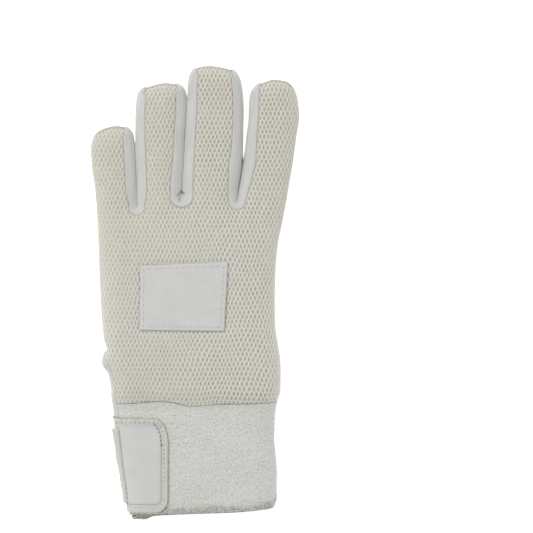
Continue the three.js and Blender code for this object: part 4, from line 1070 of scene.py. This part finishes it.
# The towelling cuff, open at the gusset
# "around" runs from 0 to 1 over the back and to 2 under the palm, "row" from the mouth to the top
cuff = {"halfRound": 96, "tall": 63, "loops": 0.16, "round": 1.4, "openAngle": {1: 38, -1: 22},
        "corner": 5.2, "cornerFrom": 0.92, "topGap": 0.05}
mouthAcross = [0, 0.09, 0.17, 0.36, 0.68, 0.88, 1]
mouth = {1: SmoothTable(mouthAcross, [4.4, 4.3, 4.4, 4.7, 5.7, 6.7, 7.1]),
         -1: SmoothTable(mouthAcross, [0.5, 0.1, 2.0, 2.9, 3.9, 5.4, 7.1])}
sideX = {}                              # the outline's x at each height, left and right of the wrist
for side in (-1, 1):
    rows = np.nonzero((hand.y < handStart) & (np.sign(hand.x) == side))[0]
    rows = rows[np.argsort(hand.y[rows], kind="stable")]
    rows = rows[np.concatenate([[True], np.diff(hand.y[rows]) > 1e-6])]
    sideX[side] = SmoothTable(hand.y[rows], hand.x[rows])


def wristSpan(y, face):
    onBack, onPalm = [hand.insetAtAngle(math.radians(cuff["openAngle"][k]), y) for k in (1, -1)]
    return sideX[-1](y) + np.where(face > 0, onBack, onPalm), sideX[1](y) - hand.insetAtAngle(0, y)


def cuffSpot(around, row):
    under = around > 1
    across = np.where(around <= 1, around, 2 - around)
    fromCorner = ((across - cuff["cornerFrom"]) / (1 - cuff["cornerFrom"])).clip(0, 1)
    foot = np.where(under, mouth[-1](across), mouth[1](across)) + cuff["corner"] * fromCorner ** 1.8
    left, right = wristSpan(cuffTop + 0 * across, np.where(under, -1, 1))
    top = np.where(under, cuffTop, cuffLine(between(left, right, across))) - cuff["topGap"]
    y = between(foot, top, row)
    left, right = wristSpan(y, np.where(under, -1, 1))
    return between(left, right, across), y, right


def cuffAt(around, row, depth):
    u, y, _ = cuffSpot(around, row)
    back, under = hand.place(u, y, 1, depth), hand.place(u, y, -1, depth)
    return np.where((around <= 1)[..., None], back, under)


def cuffFlat(around, row):              # the band unrolled
    u, y, right = cuffSpot(around, row)
    return np.where(around > 1, 2 * right - u, u), y


def cuffEdges(around, row):             # distances from the open side, from the fold, the mouth and the top
    halfRound, tall = cuff["halfRound"], cuff["tall"]
    fromOpen, fromFold = np.minimum(around, 2 - around) * halfRound, np.abs(around - 1) * halfRound
    return fromOpen, fromFold, row * tall, (1 - row) * tall


def cuffRelief(around, row, f):
    u, y = cuffFlat(around, row)
    fromOpen, fromFold, fromMouth, fromTop = cuffEdges(around, row)
    loops = softNoise(0.8 * u + 0.6 * y, 0.8 * y - 0.6 * u, 1.5, 51)
    loops = cuff["loops"] * (loops + 0.5 * softNoise(0.5 * u - 0.87 * y, 0.5 * y + 0.87 * u, 1.1, 52))
    swell = 0.45 * softNoise(u, y, 22, 53) + 0.22 * softNoise(u, y, 7, 54)
    swell = swell * smoothStep(0, 6, fromMouth) * smoothStep(-1, 6, fromTop)
    uneven = softNoise(u, y, 6, 55)
    hemLine = 3.6 + 0.5 * uneven
    knots = 0.32 * softNoise(u, y * 1.3, 1.9, 56) + 0.2 * softNoise(0.7 * u + 0.7 * y, y - u, 1.3, 57)
    knots = knots * smoothStep(5, 3.5, fromMouth) * smoothStep(0, 6, fromFold)
    hem = 0.35 * np.exp(-((fromMouth - 2.0) / 1.3) ** 2)
    hem = (hem - 0.4 * np.exp(-((fromMouth - hemLine - 0.4) / 0.8) ** 2)) * smoothStep(2, 9, fromFold)
    tuck = 0.1 * np.exp(-fromTop / 1.8)
    edge = roundOver(np.minimum(fromMouth, fromOpen), cuff["round"])
    # the sunk mark is painted shade in the groove above the hem
    sunk = 0.3 * np.exp(-((fromMouth - hemLine) / 0.9) ** 2) * smoothStep(2, 9, fromFold)
    # the hem mark paints shade between the hem's loops
    specks = smoothStep(3.8, 2.2, fromMouth + uneven) * smoothStep(3, 7, fromFold)
    return loops + swell + hem + knots + tuck - edge, {"sunk": np.clip(sunk, 0, 1), "hem": specks}


cuffCloth = CutCloth(np.linspace(0, 2, 331), np.linspace(0, 1, 106))
fromOpen, _, fromMouth, fromTop = cuffEdges(cuffCloth.u, cuffCloth.v)
cuffCloth.f = np.minimum.reduce([fromOpen, fromMouth, fromTop])
laid = layCloth(cuffCloth, cuffAt, wallOf["cuff"], cuffRelief, 0, (0.02, 0.035))
# inside the cuff the hem mark paints shade near the mouth
inside = laid.marks["lining"] > 0.5
laid.marks["hem"][inside] = smoothStep(0.09, 0.05, laid.flat[inside, 1])
laid.redraw(cuffFlat)
makePiece("cuff_towelling", laid, finishes["towelling"], "towelling", ["cuff"])


# The strap: sewn to the back, round the little finger's side, and closed on the loop pad under the palm
# "spot" runs from 0 at the sewn end to 1 at the fold and to 2 at the tab, "row" from the lower border up
strap = {"wall": 1.5, "low": 5.0, "high": 58.9, "backX": -14.9, "palmX": 7.3, "lift": 0.4, "nearEnd": 0.35,
         "backCorner": (7.4, 14.5, 8.5), "palmCorner": (6.9, 6.9, 6.9), "stitchIn": 2.6,
         "bandLow": 9.8, "bandHigh": 52.6, "bandRise": 1.75, "rough": 0.42}
# the plates on it: how far their left ends lie from the fold below and above, how their stitches lie and sink
loopPad = {"wall": 1.3, "low": 4.6, "high": 58.2, "corner": (17, 17, 17), "inset": (15, 15), "endX": 21,
           "leftCorner": 2, "lift": 0.3, "stitchIn": 2.6, "sunk": 0.35, "round": 0.6, "seed": 73}
patch = {"wall": 0.7, "low": 9.9, "high": 54.9, "corner": (3.6, 9, 4), "inset": (1.3, 3.5), "endX": -18.7,
         "leftCorner": 0.5, "lift": 0.05, "stitchIn": 0.9, "stitchOut": 1.45,
         "sunk": 0.06, "round": 0.4, "seed": 71}
tab = {"wall": 1.2, "low": 4.2, "high": 58.6, "corner": (5.8, 5.8, 5.8), "inset": (14, 14), "endX": 7.3,
       "leftCorner": 3, "stitchIn": 4, "sunk": 0.22, "round": 0.6, "seed": 77}


def cornerDraw(y, low, high, corner):   # how far a rounded end draws back near its corners
    wide, upper, lower = corner
    beyond = np.maximum.reduce([(low + lower - y) / lower, (y - high + upper) / upper, 0 * y]).clip(0, 1)
    return wide * (1 - np.sqrt(1 - beyond ** 2))


def plateLeft(plate, v):
    return sideX[-1](v) + np.interp(v, (9, 53), plate["inset"])


def strapFlat(y, endX, share):
    edgeX, nearEnd = sideX[-1](y), strap["nearEnd"]
    turnX, widestX = edgeX + hand.lie["edge"](y) + 1.5, edgeX + hand.insetAtAngle(0, y)
    near = between(endX, turnX, share / nearEnd)
    far = between(turnX, widestX, (share - nearEnd) / (1 - nearEnd))
    return np.where(share < nearEnd, near, far), widestX


def strapSpot(spot, row):
    y = between(strap["low"], strap["high"], row)
    y = y + strap["rough"] * softNoise(spot * 90, 0 * row, 1.6, 65) * smoothStep(0.93, 1, row)
    backDraw = cornerDraw(y, strap["low"], strap["high"], strap["backCorner"])
    palmDraw = cornerDraw(y, strap["low"], strap["high"], strap["palmCorner"])
    frayed = 0.6 * strap["rough"] * softNoise(y, 0 * y, 1.9, 66)
    back, widest = strapFlat(y, strap["backX"] - backDraw + frayed, spot)
    under, _ = strapFlat(y, strap["palmX"] - palmDraw, 2 - spot)
    return np.where(spot <= 1, back, under), y, widest


def strapUnrolled(spot, row):
    u, y, widest = strapSpot(spot, row)
    return np.where(spot > 1, 2 * widest - u, u), y


def strapAt(spot, row, depth):
    u, y, _ = strapSpot(spot, row)
    depth = depth - strap["lift"] - strap["wall"]
    overPad = smoothStep(1.2, 1.6, spot) * (loopPad["wall"] + loopPad["lift"])
    back, under = hand.place(u, y, 1, depth), hand.place(u, y, -1, depth - overPad)
    return np.where((spot <= 1)[..., None], back, under)


def strapEdge(spot, row):               # distance inside the strap's outline
    u, y, _ = strapSpot(spot, row)
    far, low, high = 99 + 0 * u, y - strap["low"], strap["high"] - y
    backs, unders = [roundedBox(far, strap[end] - u, low, high, strap[corner])
                     for end, corner in (("backX", "backCorner"), ("palmX", "palmCorner"))]
    return np.where(spot <= 1, backs, unders).clip(0)


def strapRelief(spot, row, f):
    inside = strapEdge(spot, row)
    u, y, _ = strapSpot(spot, row)
    onBack, beforeTab = spot <= 1, smoothStep(1.75, 1.4, spot)
    fromLeft = u - plateLeft(patch, y)
    raised = np.where(onBack, smoothStep(-0.5, -1.1, fromLeft) * beforeTab, beforeTab)
    low, high, bandEdge = strap["bandLow"], strap["bandHigh"], 0.6
    band = smoothStep(low, low + bandEdge, y) * smoothStep(high, high - bandEdge, y)
    folds = 0.25 * softNoise(u * 0.4, y, 7, 63) * smoothStep(0, 6, inside)
    stitched = np.exp(-((inside - strap["stitchIn"]) / 0.4) ** 2) * np.where(spot > 1.4, 1, 0)
    waver = 0.12 * softNoise(u, y, 9, 61) + 0.05 * softNoise(u, y, 2.2, 62)
    waver = waver + 0.16 * softNoise(u, y, 1.5, 68) * smoothStep(53.5, 56.5, y + 0.3 * (u + 30).clip(0))
    shade = np.maximum(stitched, 0.5 * band * np.where(onBack, smoothStep(-0.2, -1.2, fromLeft), 0))
    total = waver + strap["bandRise"] * raised * band - 1.1 * raised + folds - 0.3 * stitched
    return total - roundOver(inside, 0.6), {"seam": np.clip(inside, 0, 8), "sunk": shade}


# columns stand closer at both ends and round the fold
columns = [np.linspace(*stretch)[1:] for stretch in
           ((0, 0.03, 7), (0.03, 0.35, 38), (0.35, 1.65, 90), (1.65, 1.97, 60), (1.97, 2, 7))]
strapCloth = CutCloth(np.concatenate([[0.0]] + columns), np.linspace(0, 1, 110))
laid = layCloth(strapCloth, strapAt, strap["wall"], strapRelief, 0, (0.09, 0.09))
laid.redraw(strapUnrolled)
makePiece("strap_cloth", laid, finishes["strap"], "strap_webbing", ["strap"])


def plateField(plate):
    def field(u, v):
        left, right = u - plateLeft(plate, v), plate["endX"] - u
        low, high = v - plate["low"], plate["high"] - v
        far = 99 + 0 * u
        rightEnd = roundedBox(far, right, low, high, plate["corner"])
        return np.minimum(rightEnd, roundedBox(left, far, low, high, (plate["leftCorner"],) * 3))
    return field


def plateRelief(plate):
    def relief(u, v, f):
        line = np.exp(-((f - plate["stitchIn"]) / 0.45) ** 2)
        waver = 0.1 * softNoise(u, v, 10, plate["seed"]) + 0.03 * softNoise(u, v, 2.5, plate["seed"] + 1)
        # the stitch line is also the sunk mark, painted shade in its groove
        return waver - plate["sunk"] * line - roundOver(f, plate["round"]), {"sunk": line}
    return relief


def patchRelief(u, v, f):               # its left edge is tucked under the folded strap
    offset, marks = plateRelief(patch)(u, v, f)
    # the tuck mark also paints the shadow of the folded strap on that edge
    tuck = np.exp(-((u - plateLeft(patch, v)) / 0.5) ** 2)
    return offset - 0.45 * tuck, {**marks, "tuck": tuck}


def onTab(u, v, depth):                 # the tab's face lies flat on the floor
    return np.stack([u, v, depth + 0 * u], -1)


onStrap = hand.over(1, strap["lift"] + strap["wall"] + patch["lift"] + patch["wall"])
onPad = hand.over(-1, loopPad["lift"] + loopPad["wall"])
plates = {
    "strap_patch_woven": (patch, onStrap, patchRelief, "patch", "woven_patch", "strap_patch", 0.4),
    "strap_loop_pad": (loopPad, onPad, plateRelief(loopPad), "loop", "loop_fabric", "loop_pad", 0.5),
    "strap_tab_face": (tab, onTab, plateRelief(tab), "tab", "tab_face", "strap_tab", 0.5),
}
for name, (plate, placeAt, relief, finish, slotName, node, step) in plates.items():
    spans = (-50, plate["endX"] + 1), (plate["low"] - 1, plate["high"] + 1)
    plateCloth = CutCloth(*gridAxes(spans, step, step), plateField(plate))
    laid = layCloth(plateCloth, placeAt, plate["wall"], relief, 0, (3, 3))
    makePiece(name, laid, finishes[finish], slotName, [node])


# The badge, left bare
badgeCloth = CutCloth(*gridAxes(((-34, 22), (106, 149)), 0.5, 0.5), badgeField)
onBack = hand.over(1, badge["lift"] + badge["wall"])
laid = layCloth(badgeCloth, onBack, badge["wall"], plateRelief(badge), 0, (3, 3))
laid.redraw(badgeAt)
makePiece("back_badge_plate", laid, finishes["badge"], "badge_cloth", ["back_badge"])


# The thumb, folded flat under the palm
thumbSpan = (-56, 37), (90, 152)
thumbRound = 1.1
thumbHem = SmoothTable([90, 97, 106, 122, 140, 149], [36.6, 36.3, 35.6, 34.8, 33.5, 31.6])


def insideThumb(u, v):
    return thumb.nearest(u, v).inside - thumb.insetAtAngle(0, v) - seamGap / 2


def thumbMeshField(u, v):
    return np.minimum(insideThumb(u, v), thumbHem(v) - u)


def thumbSuedeField(u, v):
    return np.minimum(insideThumb(u, v) - 0.4, 19 - u)


def thumbMeshRelief(u, v, f):
    pull = np.clip(0.55 + 0.2 * softNoise(u, v, 14, 81), 0, 1)
    swell = 0.4 * softNoise(u, v, 20, 82) * smoothStep(0, 8, f)
    return knitRelief(v, u, pull) * smoothStep(0.3, 1.8, f) + swell - roundOver(f, thumbRound), {"pull": pull}


def thumbSuedeRelief(u, v, f):
    swell = 0.45 * softNoise(u, v, 18, 83) + 0.2 * softNoise(u, v, 6, 84)
    return swell * smoothStep(0, 6, f) - roundOver(f, thumbRound), {"sunk": 0 * u}


thumbCloth = CutCloth(*gridAxes(thumbSpan, 0.675, 0.4), thumbMeshField)
laid = layCloth(thumbCloth, thumb.over(-1), wallOf["thumb"], thumbMeshRelief, 8, (3, 3))
laid.redraw(lambda u, v: warped(v, u))
makePiece("thumb_mesh", laid, finishes["mesh"], "spacer_mesh", ["thumb_back"])
thumbCloth = CutCloth(*gridAxes(((-56, 22), (90, 152)), 0.9, 0.9), thumbSuedeField)
laid = layCloth(thumbCloth, thumb.over(1), wallOf["thumb"], thumbSuedeRelief, 8, (3, 3))
thumbFront = makePiece("thumb_chamois", laid, finishes["chamois"], "chamois", ["thumb_front"])


# The welt that joins the thumb to the hole in the palm
# x, y, how far the foot of its section spreads
weltPath = np.array([
    (20, 149.4, 0), (27, 149.6, 0), (34, 147.6, 0.5), (37.8, 140, 1), (39, 122, 1), (39.4, 106, 0.9),
    (38.4, 97, 0.5), (31, 90.8, 0), (20, 91, 0),
])
# reach and rise of the section where the foot spreads, reach and rise at the ends
weltSection = np.array([
    (5.8, 0.02, 0.9, 0.52), (3, 0.01, 0.6, 0.58), (0.6, 0.22, 0.3, 0.66), (0, 0.52, 0.1, 0.75),
    (0.8, 0.82, 0.4, 0.88), (3.2, 1, 1.6, 1),
])
weltLength = lengthAlong(weltPath[:, :2])
weltLine = [SmoothTable(weltLength, column) for column in weltPath.T]
weltRows = [SmoothTable(np.arange(6), column) for column in weltSection.T]


def weltSpot(i, foot):
    footReach, footRise, endReach, endRise = [row(i) for row in weltRows]
    return between(endReach, footReach, foot), between(endRise, footRise, foot)


def weltAt(distance, i, depth):
    x, y, foot = [line(distance) for line in weltLine]
    ahead, behind = np.minimum(distance + 0.5, weltLength[-1]), np.maximum(distance - 0.5, 0)
    aheadX, aheadY = [line(ahead) - line(behind) for line in weltLine[:2]]
    long = np.hypot(aheadX, aheadY)
    reach, rise = weltSpot(i, foot)
    before, after = weltSpot(np.maximum(i - 0.4, 0), foot), weltSpot(np.minimum(i + 0.4, 5), foot)
    runReach, runRise = after[0] - before[0], (after[1] - before[1]) * 10
    size = np.hypot(runReach, runRise)
    reach = reach + depth * runRise / size
    u, v = x + aheadY / long * reach, y - aheadX / long * reach
    roof = hand.place(u, v, -1, 0)[..., 2] - 0.4
    return np.stack([u, v, rise * roof - depth * runReach / size], -1)


def weltRelief(distance, i, f):
    swell = 0.3 * softNoise(distance, i * 4, 8, 91) + 0.12 * softNoise(distance, i * 4, 3, 92)
    edge = np.minimum(distance, weltLength[-1] - distance)
    fold = np.exp(-((i - 1.2) / 0.25) ** 2)
    edge = np.minimum(edge, np.minimum(i, 5 - i) * 3 + 0.2)
    # the fold is painted with shade as the sunk mark
    return swell - 0.35 * fold - roundOver(edge, 0.7), {"sunk": 0.7 * fold}


weltCloth = CutCloth(np.linspace(0, weltLength[-1], 130), np.linspace(0, 5, 34))
laid = layCloth(weltCloth, weltAt, wallOf["welt"], weltRelief, 0, (3, 0.6))
makePiece("thumb_welt_chamois", laid, finishes["chamois"], "chamois", ["thumb_welt"])


# Thread: one tree of nodes sews rows of stitches, the other lays a thin tube
class ThreadTree:
    def __init__(self, name, measures):
        self.tree = bpy.data.node_groups.new(name, "GeometryNodeTree")
        kinds = {"Line": "Geometry", **{measure: "Float" for measure in measures}, "Thread": "Material"}
        for socket, kind in kinds.items():
            self.tree.interface.new_socket(socket, in_out="INPUT", socket_type="NodeSocket" + kind)
        self.tree.interface.new_socket("Sewn", in_out="OUTPUT", socket_type="NodeSocketGeometry")
        self.given = self.tree.nodes.new("NodeGroupInput").outputs
        self.result = self.tree.nodes.new("NodeGroupOutput").inputs[0]
        self.curve = self.node("GeometryNodeMeshToCurve", None, {0: self.given["Line"]})

    def node(self, kind, settings=None, values=None, output=0):
        return addNode(self.tree, kind, settings, values).outputs[output]

    def finish(self, shape):
        real = self.node("GeometryNodeRealizeInstances", None, {0: shape})
        soft = self.node("GeometryNodeSetShadeSmooth", None, {0: real})
        dressed = self.node("GeometryNodeSetMaterial", None, {0: soft, "Material": self.given["Thread"]})
        self.tree.links.new(dressed, self.result)
        return self.tree


def stitchTree():
    shop = ThreadTree("stitch row", ("Pitch", "Length", "Thickness"))
    given, node = shop.given, shop.node
    spacing, ahead = {"Curve": shop.curve, "Length": given["Pitch"]}, node("GeometryNodeInputTangent")
    spaced = node("GeometryNodeResampleCurve", {"mode": "LENGTH"}, spacing)
    turn = node("FunctionNodeAlignRotationToVector", {"axis": "X"}, {"Vector": ahead})
    chance = node("FunctionNodeRandomValue", {"data_type": "FLOAT"}, {2: 0.86, 3: 1.08, "Seed": 5}, 1)
    long = node("ShaderNodeMath", {"operation": "MULTIPLY"}, {0: given["Length"], 1: chance})
    size = node("ShaderNodeCombineXYZ", None, {0: long, 1: given["Thickness"], 2: given["Thickness"]})
    bead = node("GeometryNodeMeshUVSphere", None, {"Segments": 7, "Rings": 5, "Radius": 0.5})
    return shop.finish(node("GeometryNodeInstanceOnPoints", None, {
        "Points": spaced, "Instance": bead, "Rotation": turn, "Scale": size}))


def tubeTree():
    shop = ThreadTree("thread line", ("Radius",))
    values = {"Resolution": 5, "Radius": shop.given["Radius"]}
    ring = shop.node("GeometryNodeCurvePrimitiveCircle", None, values)
    sweep = {0: shop.curve, 1: ring, "Fill Caps": True}
    return shop.finish(shop.node("GeometryNodeCurveToMesh", None, sweep))


def runTree(name, lines, tree, settings):
    points, edges = [], []
    for line in lines:
        start = len(points)
        points += ((np.asarray(line) + shift) / 1000).tolist()
        edges += [(start + k, start + k + 1) for k in range(len(line) - 1)]
    mesh = bpy.data.meshes.new(name)
    mesh.from_pydata(points, edges, [])
    guide = hung(name + "_line", mesh)
    modifier = guide.modifiers.new("thread", "NODES")
    modifier.node_group = tree
    sockets = {s.name: s.identifier for s in tree.interface.items_tree if s.in_out == "INPUT"}
    for key, value in settings.items():
        modifier[sockets[key]] = value
    bpy.context.view_layer.update()
    made = bpy.data.meshes.new_from_object(guide.evaluated_get(bpy.context.evaluated_depsgraph_get()))
    bpy.data.objects.remove(guide)
    made.name = name
    piece = hung(name, made)
    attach(piece, "root")
    print("sewed", name, len(made.polygons))
    return piece


stitches, tubes = stitchTree(), tubeTree()
# how far apart the stitches are, how long and how thick, their thread, and the cloth that they are sewn to
sewing = {
    "badge_stitches": (3.8, 1.4, 0.46, "badgeThread", "badge_cloth"),
    "strap_stitches": (2.6, 1.5, 0.42, "thread", "strap_webbing"),
    # the needle marks are dark beads: needle holes with painted shade in them; the corner ones are painted
    # shadow under the patch's lifted corner
    "strap_needle_marks": (2.6, 1.15, 0.5, "pit", "strap_webbing"),
    "strap_corner_shadow_marks": (2.2, 1.7, 0.6, "shadowedPit", "strap_webbing"),
    "strap_fold_marks": (2.6, 1.2, 0.42, "pit", "strap_webbing"),
    "tab_stitches": (2.4, 1.6, 0.42, "greyThread", "tab_face"),
    "pad_stitches": (2.4, 1.7, 0.45, "thread", "loop_fabric"),
    "palm_quilt_stitches": (2.4, 1.75, 0.45, "creamThread", "chamois"),
    "palm_topstitches": (2.5, 1.7, 0.45, "creamThread", "chamois"),
}
# radius of the tube, its thread, and the cloth
tubing = {"strap_fold_thread": (0.12, "badgeThread", "strap_webbing"),
          "cuff_hem_thread": (0.24, "hemThread", "towelling")}


def sewRow(name, *lines):
    pitch, length, thickness, thread, slotName = sewing[name]
    sizes = {"Pitch": pitch / 1000, "Length": length / 1000, "Thickness": thickness / 1000}
    return runTree(name, lines, stitches, {**sizes, "Thread": finishes[thread]})


def layTube(name, line):
    radius, thread, slotName = tubing[name]
    return runTree(name, [line], tubes, {"Radius": radius / 1000, "Thread": finishes[thread]})


def boxLine(halfX, halfY, radius, step=0.4):        # a closed line round a box with round corners
    parts = []
    for k, (sx, sy) in enumerate(((1, 1), (-1, 1), (-1, -1), (1, -1))):
        turn = np.radians(90 * k + np.linspace(0, 90, 7))
        x, y = sx * (halfX - radius) + radius * np.cos(turn), sy * (halfY - radius) + radius * np.sin(turn)
        parts.append(np.stack([x, y], 1))
    line = np.concatenate(parts + [parts[0][:1]])
    at = lengthAlong(line)
    fine = np.arange(0, at[-1], step)
    return [np.interp(fine, at, column) for column in line.T]


halfX, halfY = badge["halfX"], badge["halfY"]
x, y = boxLine(halfX - badge["stitchIn"], halfY - badge["stitchIn"], 0.6)
(left, leanLeft), (right, leanRight) = badge["left"], badge["right"]
(low, leanLow), (high, leanHigh) = badge["low"], badge["high"]
x, y = (x + between(halfX - left - leanLeft * y, right - halfX + leanRight * y, (x + halfX) / (2 * halfX)),
        y + between(halfY - low - leanLow * x, high - halfY + leanHigh * x, (y + halfY) / (2 * halfY)))
u, v = badge["x"] + x - badge["turn"] * y, badge["y"] + y + badge["turn"] * x
sewRow("badge_stitches", hand.place(u, v, 1, -badge["lift"] - badge["wall"] + 0.06))


def plateLine(plate, out, step=0.3):    # a line that runs round a plate at a distance outside it
    high, low, endX = plate["high"] + out, plate["low"] - out, plate["endX"] + out
    wide, upper, lower = [max(reach + out, 0.3) for reach in plate["corner"]]
    quarter = np.radians(np.linspace(0, 90, 12))
    turned, ahead = np.sin(quarter), np.cos(quarter)
    points = [(plateLeft(plate, high) - out, high), (endX - wide, high)]
    points += list(zip(endX - wide + wide * turned, high - upper + upper * ahead))
    points += list(zip(endX - wide + wide * ahead, low + lower - lower * turned))
    points += [(endX - wide, low), (plateLeft(plate, low) - out, low)]
    points += [(plateLeft(plate, v) - out, v) for v in np.linspace(low, high, 12)[1:]]
    points = np.array(points)
    at = lengthAlong(points)
    keep = np.concatenate([[True], np.diff(at) > 1e-6])
    fine = np.arange(0, at[-1], step)
    return [np.interp(fine, at[keep], column) for column in points[keep].T]


def strapTop(u, v, lift):               # this much above the strap's face
    return hand.place(u, v, 1, -strap["lift"] - strap["wall"] - lift)


seamLine = strapTop(*plateLine(patch, patch["stitchOut"]), -0.1)
sewRow("strap_stitches", seamLine)
sewRow("strap_needle_marks", seamLine[4:])
# dark beads round the patch's lifted upper right corner: needle marks in painted shadow
cornerLine = SmoothTable([-22.4, -20.7, -19.4, -18.7], [55.2, 52.4, 48.6, 43.8])
u = np.linspace(-22.4, -18.7, 30)
sewRow("strap_corner_shadow_marks", strapTop(u, cornerLine(u), 0.62))
# needle marks along the patch's tucked left edge, with painted shade in them
v = np.linspace(10.8, 19, 30)
sewRow("strap_fold_marks", strapTop(plateLeft(patch, v) - 0.15, v, 0.45))
v = np.linspace(18, 53.2, 90)
layTube("strap_fold_thread", strapTop(plateLeft(patch, v) - 0.12 + 0.1 * softNoise(v, 0 * v, 3, 67), v, 0.5))
sewRow("tab_stitches", onTab(*plateLine(tab, -tab["stitchIn"]), 0.12))
sewRow("pad_stitches", onPad(*plateLine(loopPad, -loopPad["stitchIn"]), 0.25))


def quiltLine(u, v):                    # stitches lie in the channel and end at the panel's seam
    good = hand.insideSeam(u, v, -1) > 0.8
    return hand.place(u[good], v[good], -1, palmChamois["channel"] * 0.9)


quiltLines = []
for _, left, right in fingerQuilts:
    u = np.arange(max(left[0], -57.5), min(right[0], 58.5), 0.8)
    quiltLines.append(quiltLine(u, quiltAt(left, right, u)))
u = np.arange(-58, 56, 0.8)
sewRow("palm_quilt_stitches", *quiltLines, quiltLine(u, palmQuilt(u)))

t = np.arange(-1.9, 1.9, 0.004)         # most of the way round the thumb's hole
u = thumbHole["x"] + (thumbHole["halfX"] + thumbHole["stitchX"]) * np.cos(t)
v = thumbHole["y"] + (thumbHole["halfY"] + thumbHole["stitchY"]) * np.sin(t)
sewRow("palm_topstitches", hand.place(u, v, -1, -0.1))

hemThread = {"end": 0.012, "step": 6, "middle": 2.0, "swing": 1.7, "pitch": 1.9, "sag": 0.35, "stray": 0.3}
around = np.arange(hemThread["end"], 2 - hemThread["end"], 1.0 / cuff["halfRound"] / hemThread["step"])
along = around * cuff["halfRound"]
zigzag = along * 2 * np.pi / hemThread["pitch"] + 1.5 * softNoise(along, 0 * around, 4, 50)
fromMouth = hemThread["middle"] + hemThread["swing"] * np.cos(zigzag)
fromFold = np.abs(around - 1) * cuff["halfRound"]
path = cuffAt(around, fromMouth / cuff["tall"], -hemThread["sag"] * smoothStep(1, 10, fromFold))
path = path + hemThread["stray"] * np.stack([softNoise(along, fromMouth, 1.3, k) for k in (58, 59, 60)], 1)
layTube("cuff_hem_thread", path)

# Floor, light and camera
floorHalf, floorTop = 3, -0.0003
floorCorners = [(x * floorHalf, y * floorHalf, floorTop) for x, y in ((-1, -1), (1, -1), (1, 1), (-1, 1))]
floorMesh = bpy.data.meshes.new("floor")
floorMesh.from_pydata(floorCorners, [], [(0, 1, 2, 3)])
floor = hung("floor", floorMesh)
floorShop = FinishShop("pale floor", roughness=1, specular=0)
floorShop.shader.inputs["Base Color"].default_value = (0.9, 0.9, 0.9, 1)
floorShop.shader.inputs["Emission Color"].default_value = (1, 1, 1, 1)
floorShop.shader.inputs["Emission Strength"].default_value = 0.6
floorMesh.materials.append(floorShop.material)
floor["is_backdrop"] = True

lights = {"key": (10.4, 0.9, (-0.75, 0.75, 1.25)), "fill": (3.0, 1.2, (0.9, -0.4, 1.3))}
for name, (power, size, spot) in lights.items():
    lamp = bpy.data.lights.new(name, "AREA")
    lamp.energy, lamp.size = power, size
    holder = hung(name, lamp)
    holder.location = spot
    holder.rotation_euler = (-Vector(spot)).to_track_quat("-Z", "Y").to_euler()
world = bpy.data.worlds.new("studio")
bpy.context.scene.world = world
world.use_nodes = True
world.node_tree.nodes["Background"].inputs[0].default_value = (1, 1, 1, 1)
world.node_tree.nodes["Background"].inputs[1].default_value = 0.43
bpy.context.scene.view_settings.view_transform = "Standard"
bpy.context.scene.view_settings.look = "None"

view = {"x": 40.8, "y": 15.0, "width": 304.0, "lens": 200, "sensor": 36, "objectHeight": 16}
camera = bpy.data.cameras.new("camera")
camera.lens, camera.sensor_width = view["lens"], view["sensor"]
camera.clip_start, camera.clip_end = 0.05, 10
eye = bpy.data.objects.new("camera", camera)
height = view["width"] * view["lens"] / view["sensor"] + view["objectHeight"]
eye.location = (view["x"] / 1000, view["y"] / 1000, height / 1000)
bpy.context.scene.collection.objects.link(eye)
bpy.context.scene.camera = eye

low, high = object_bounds()
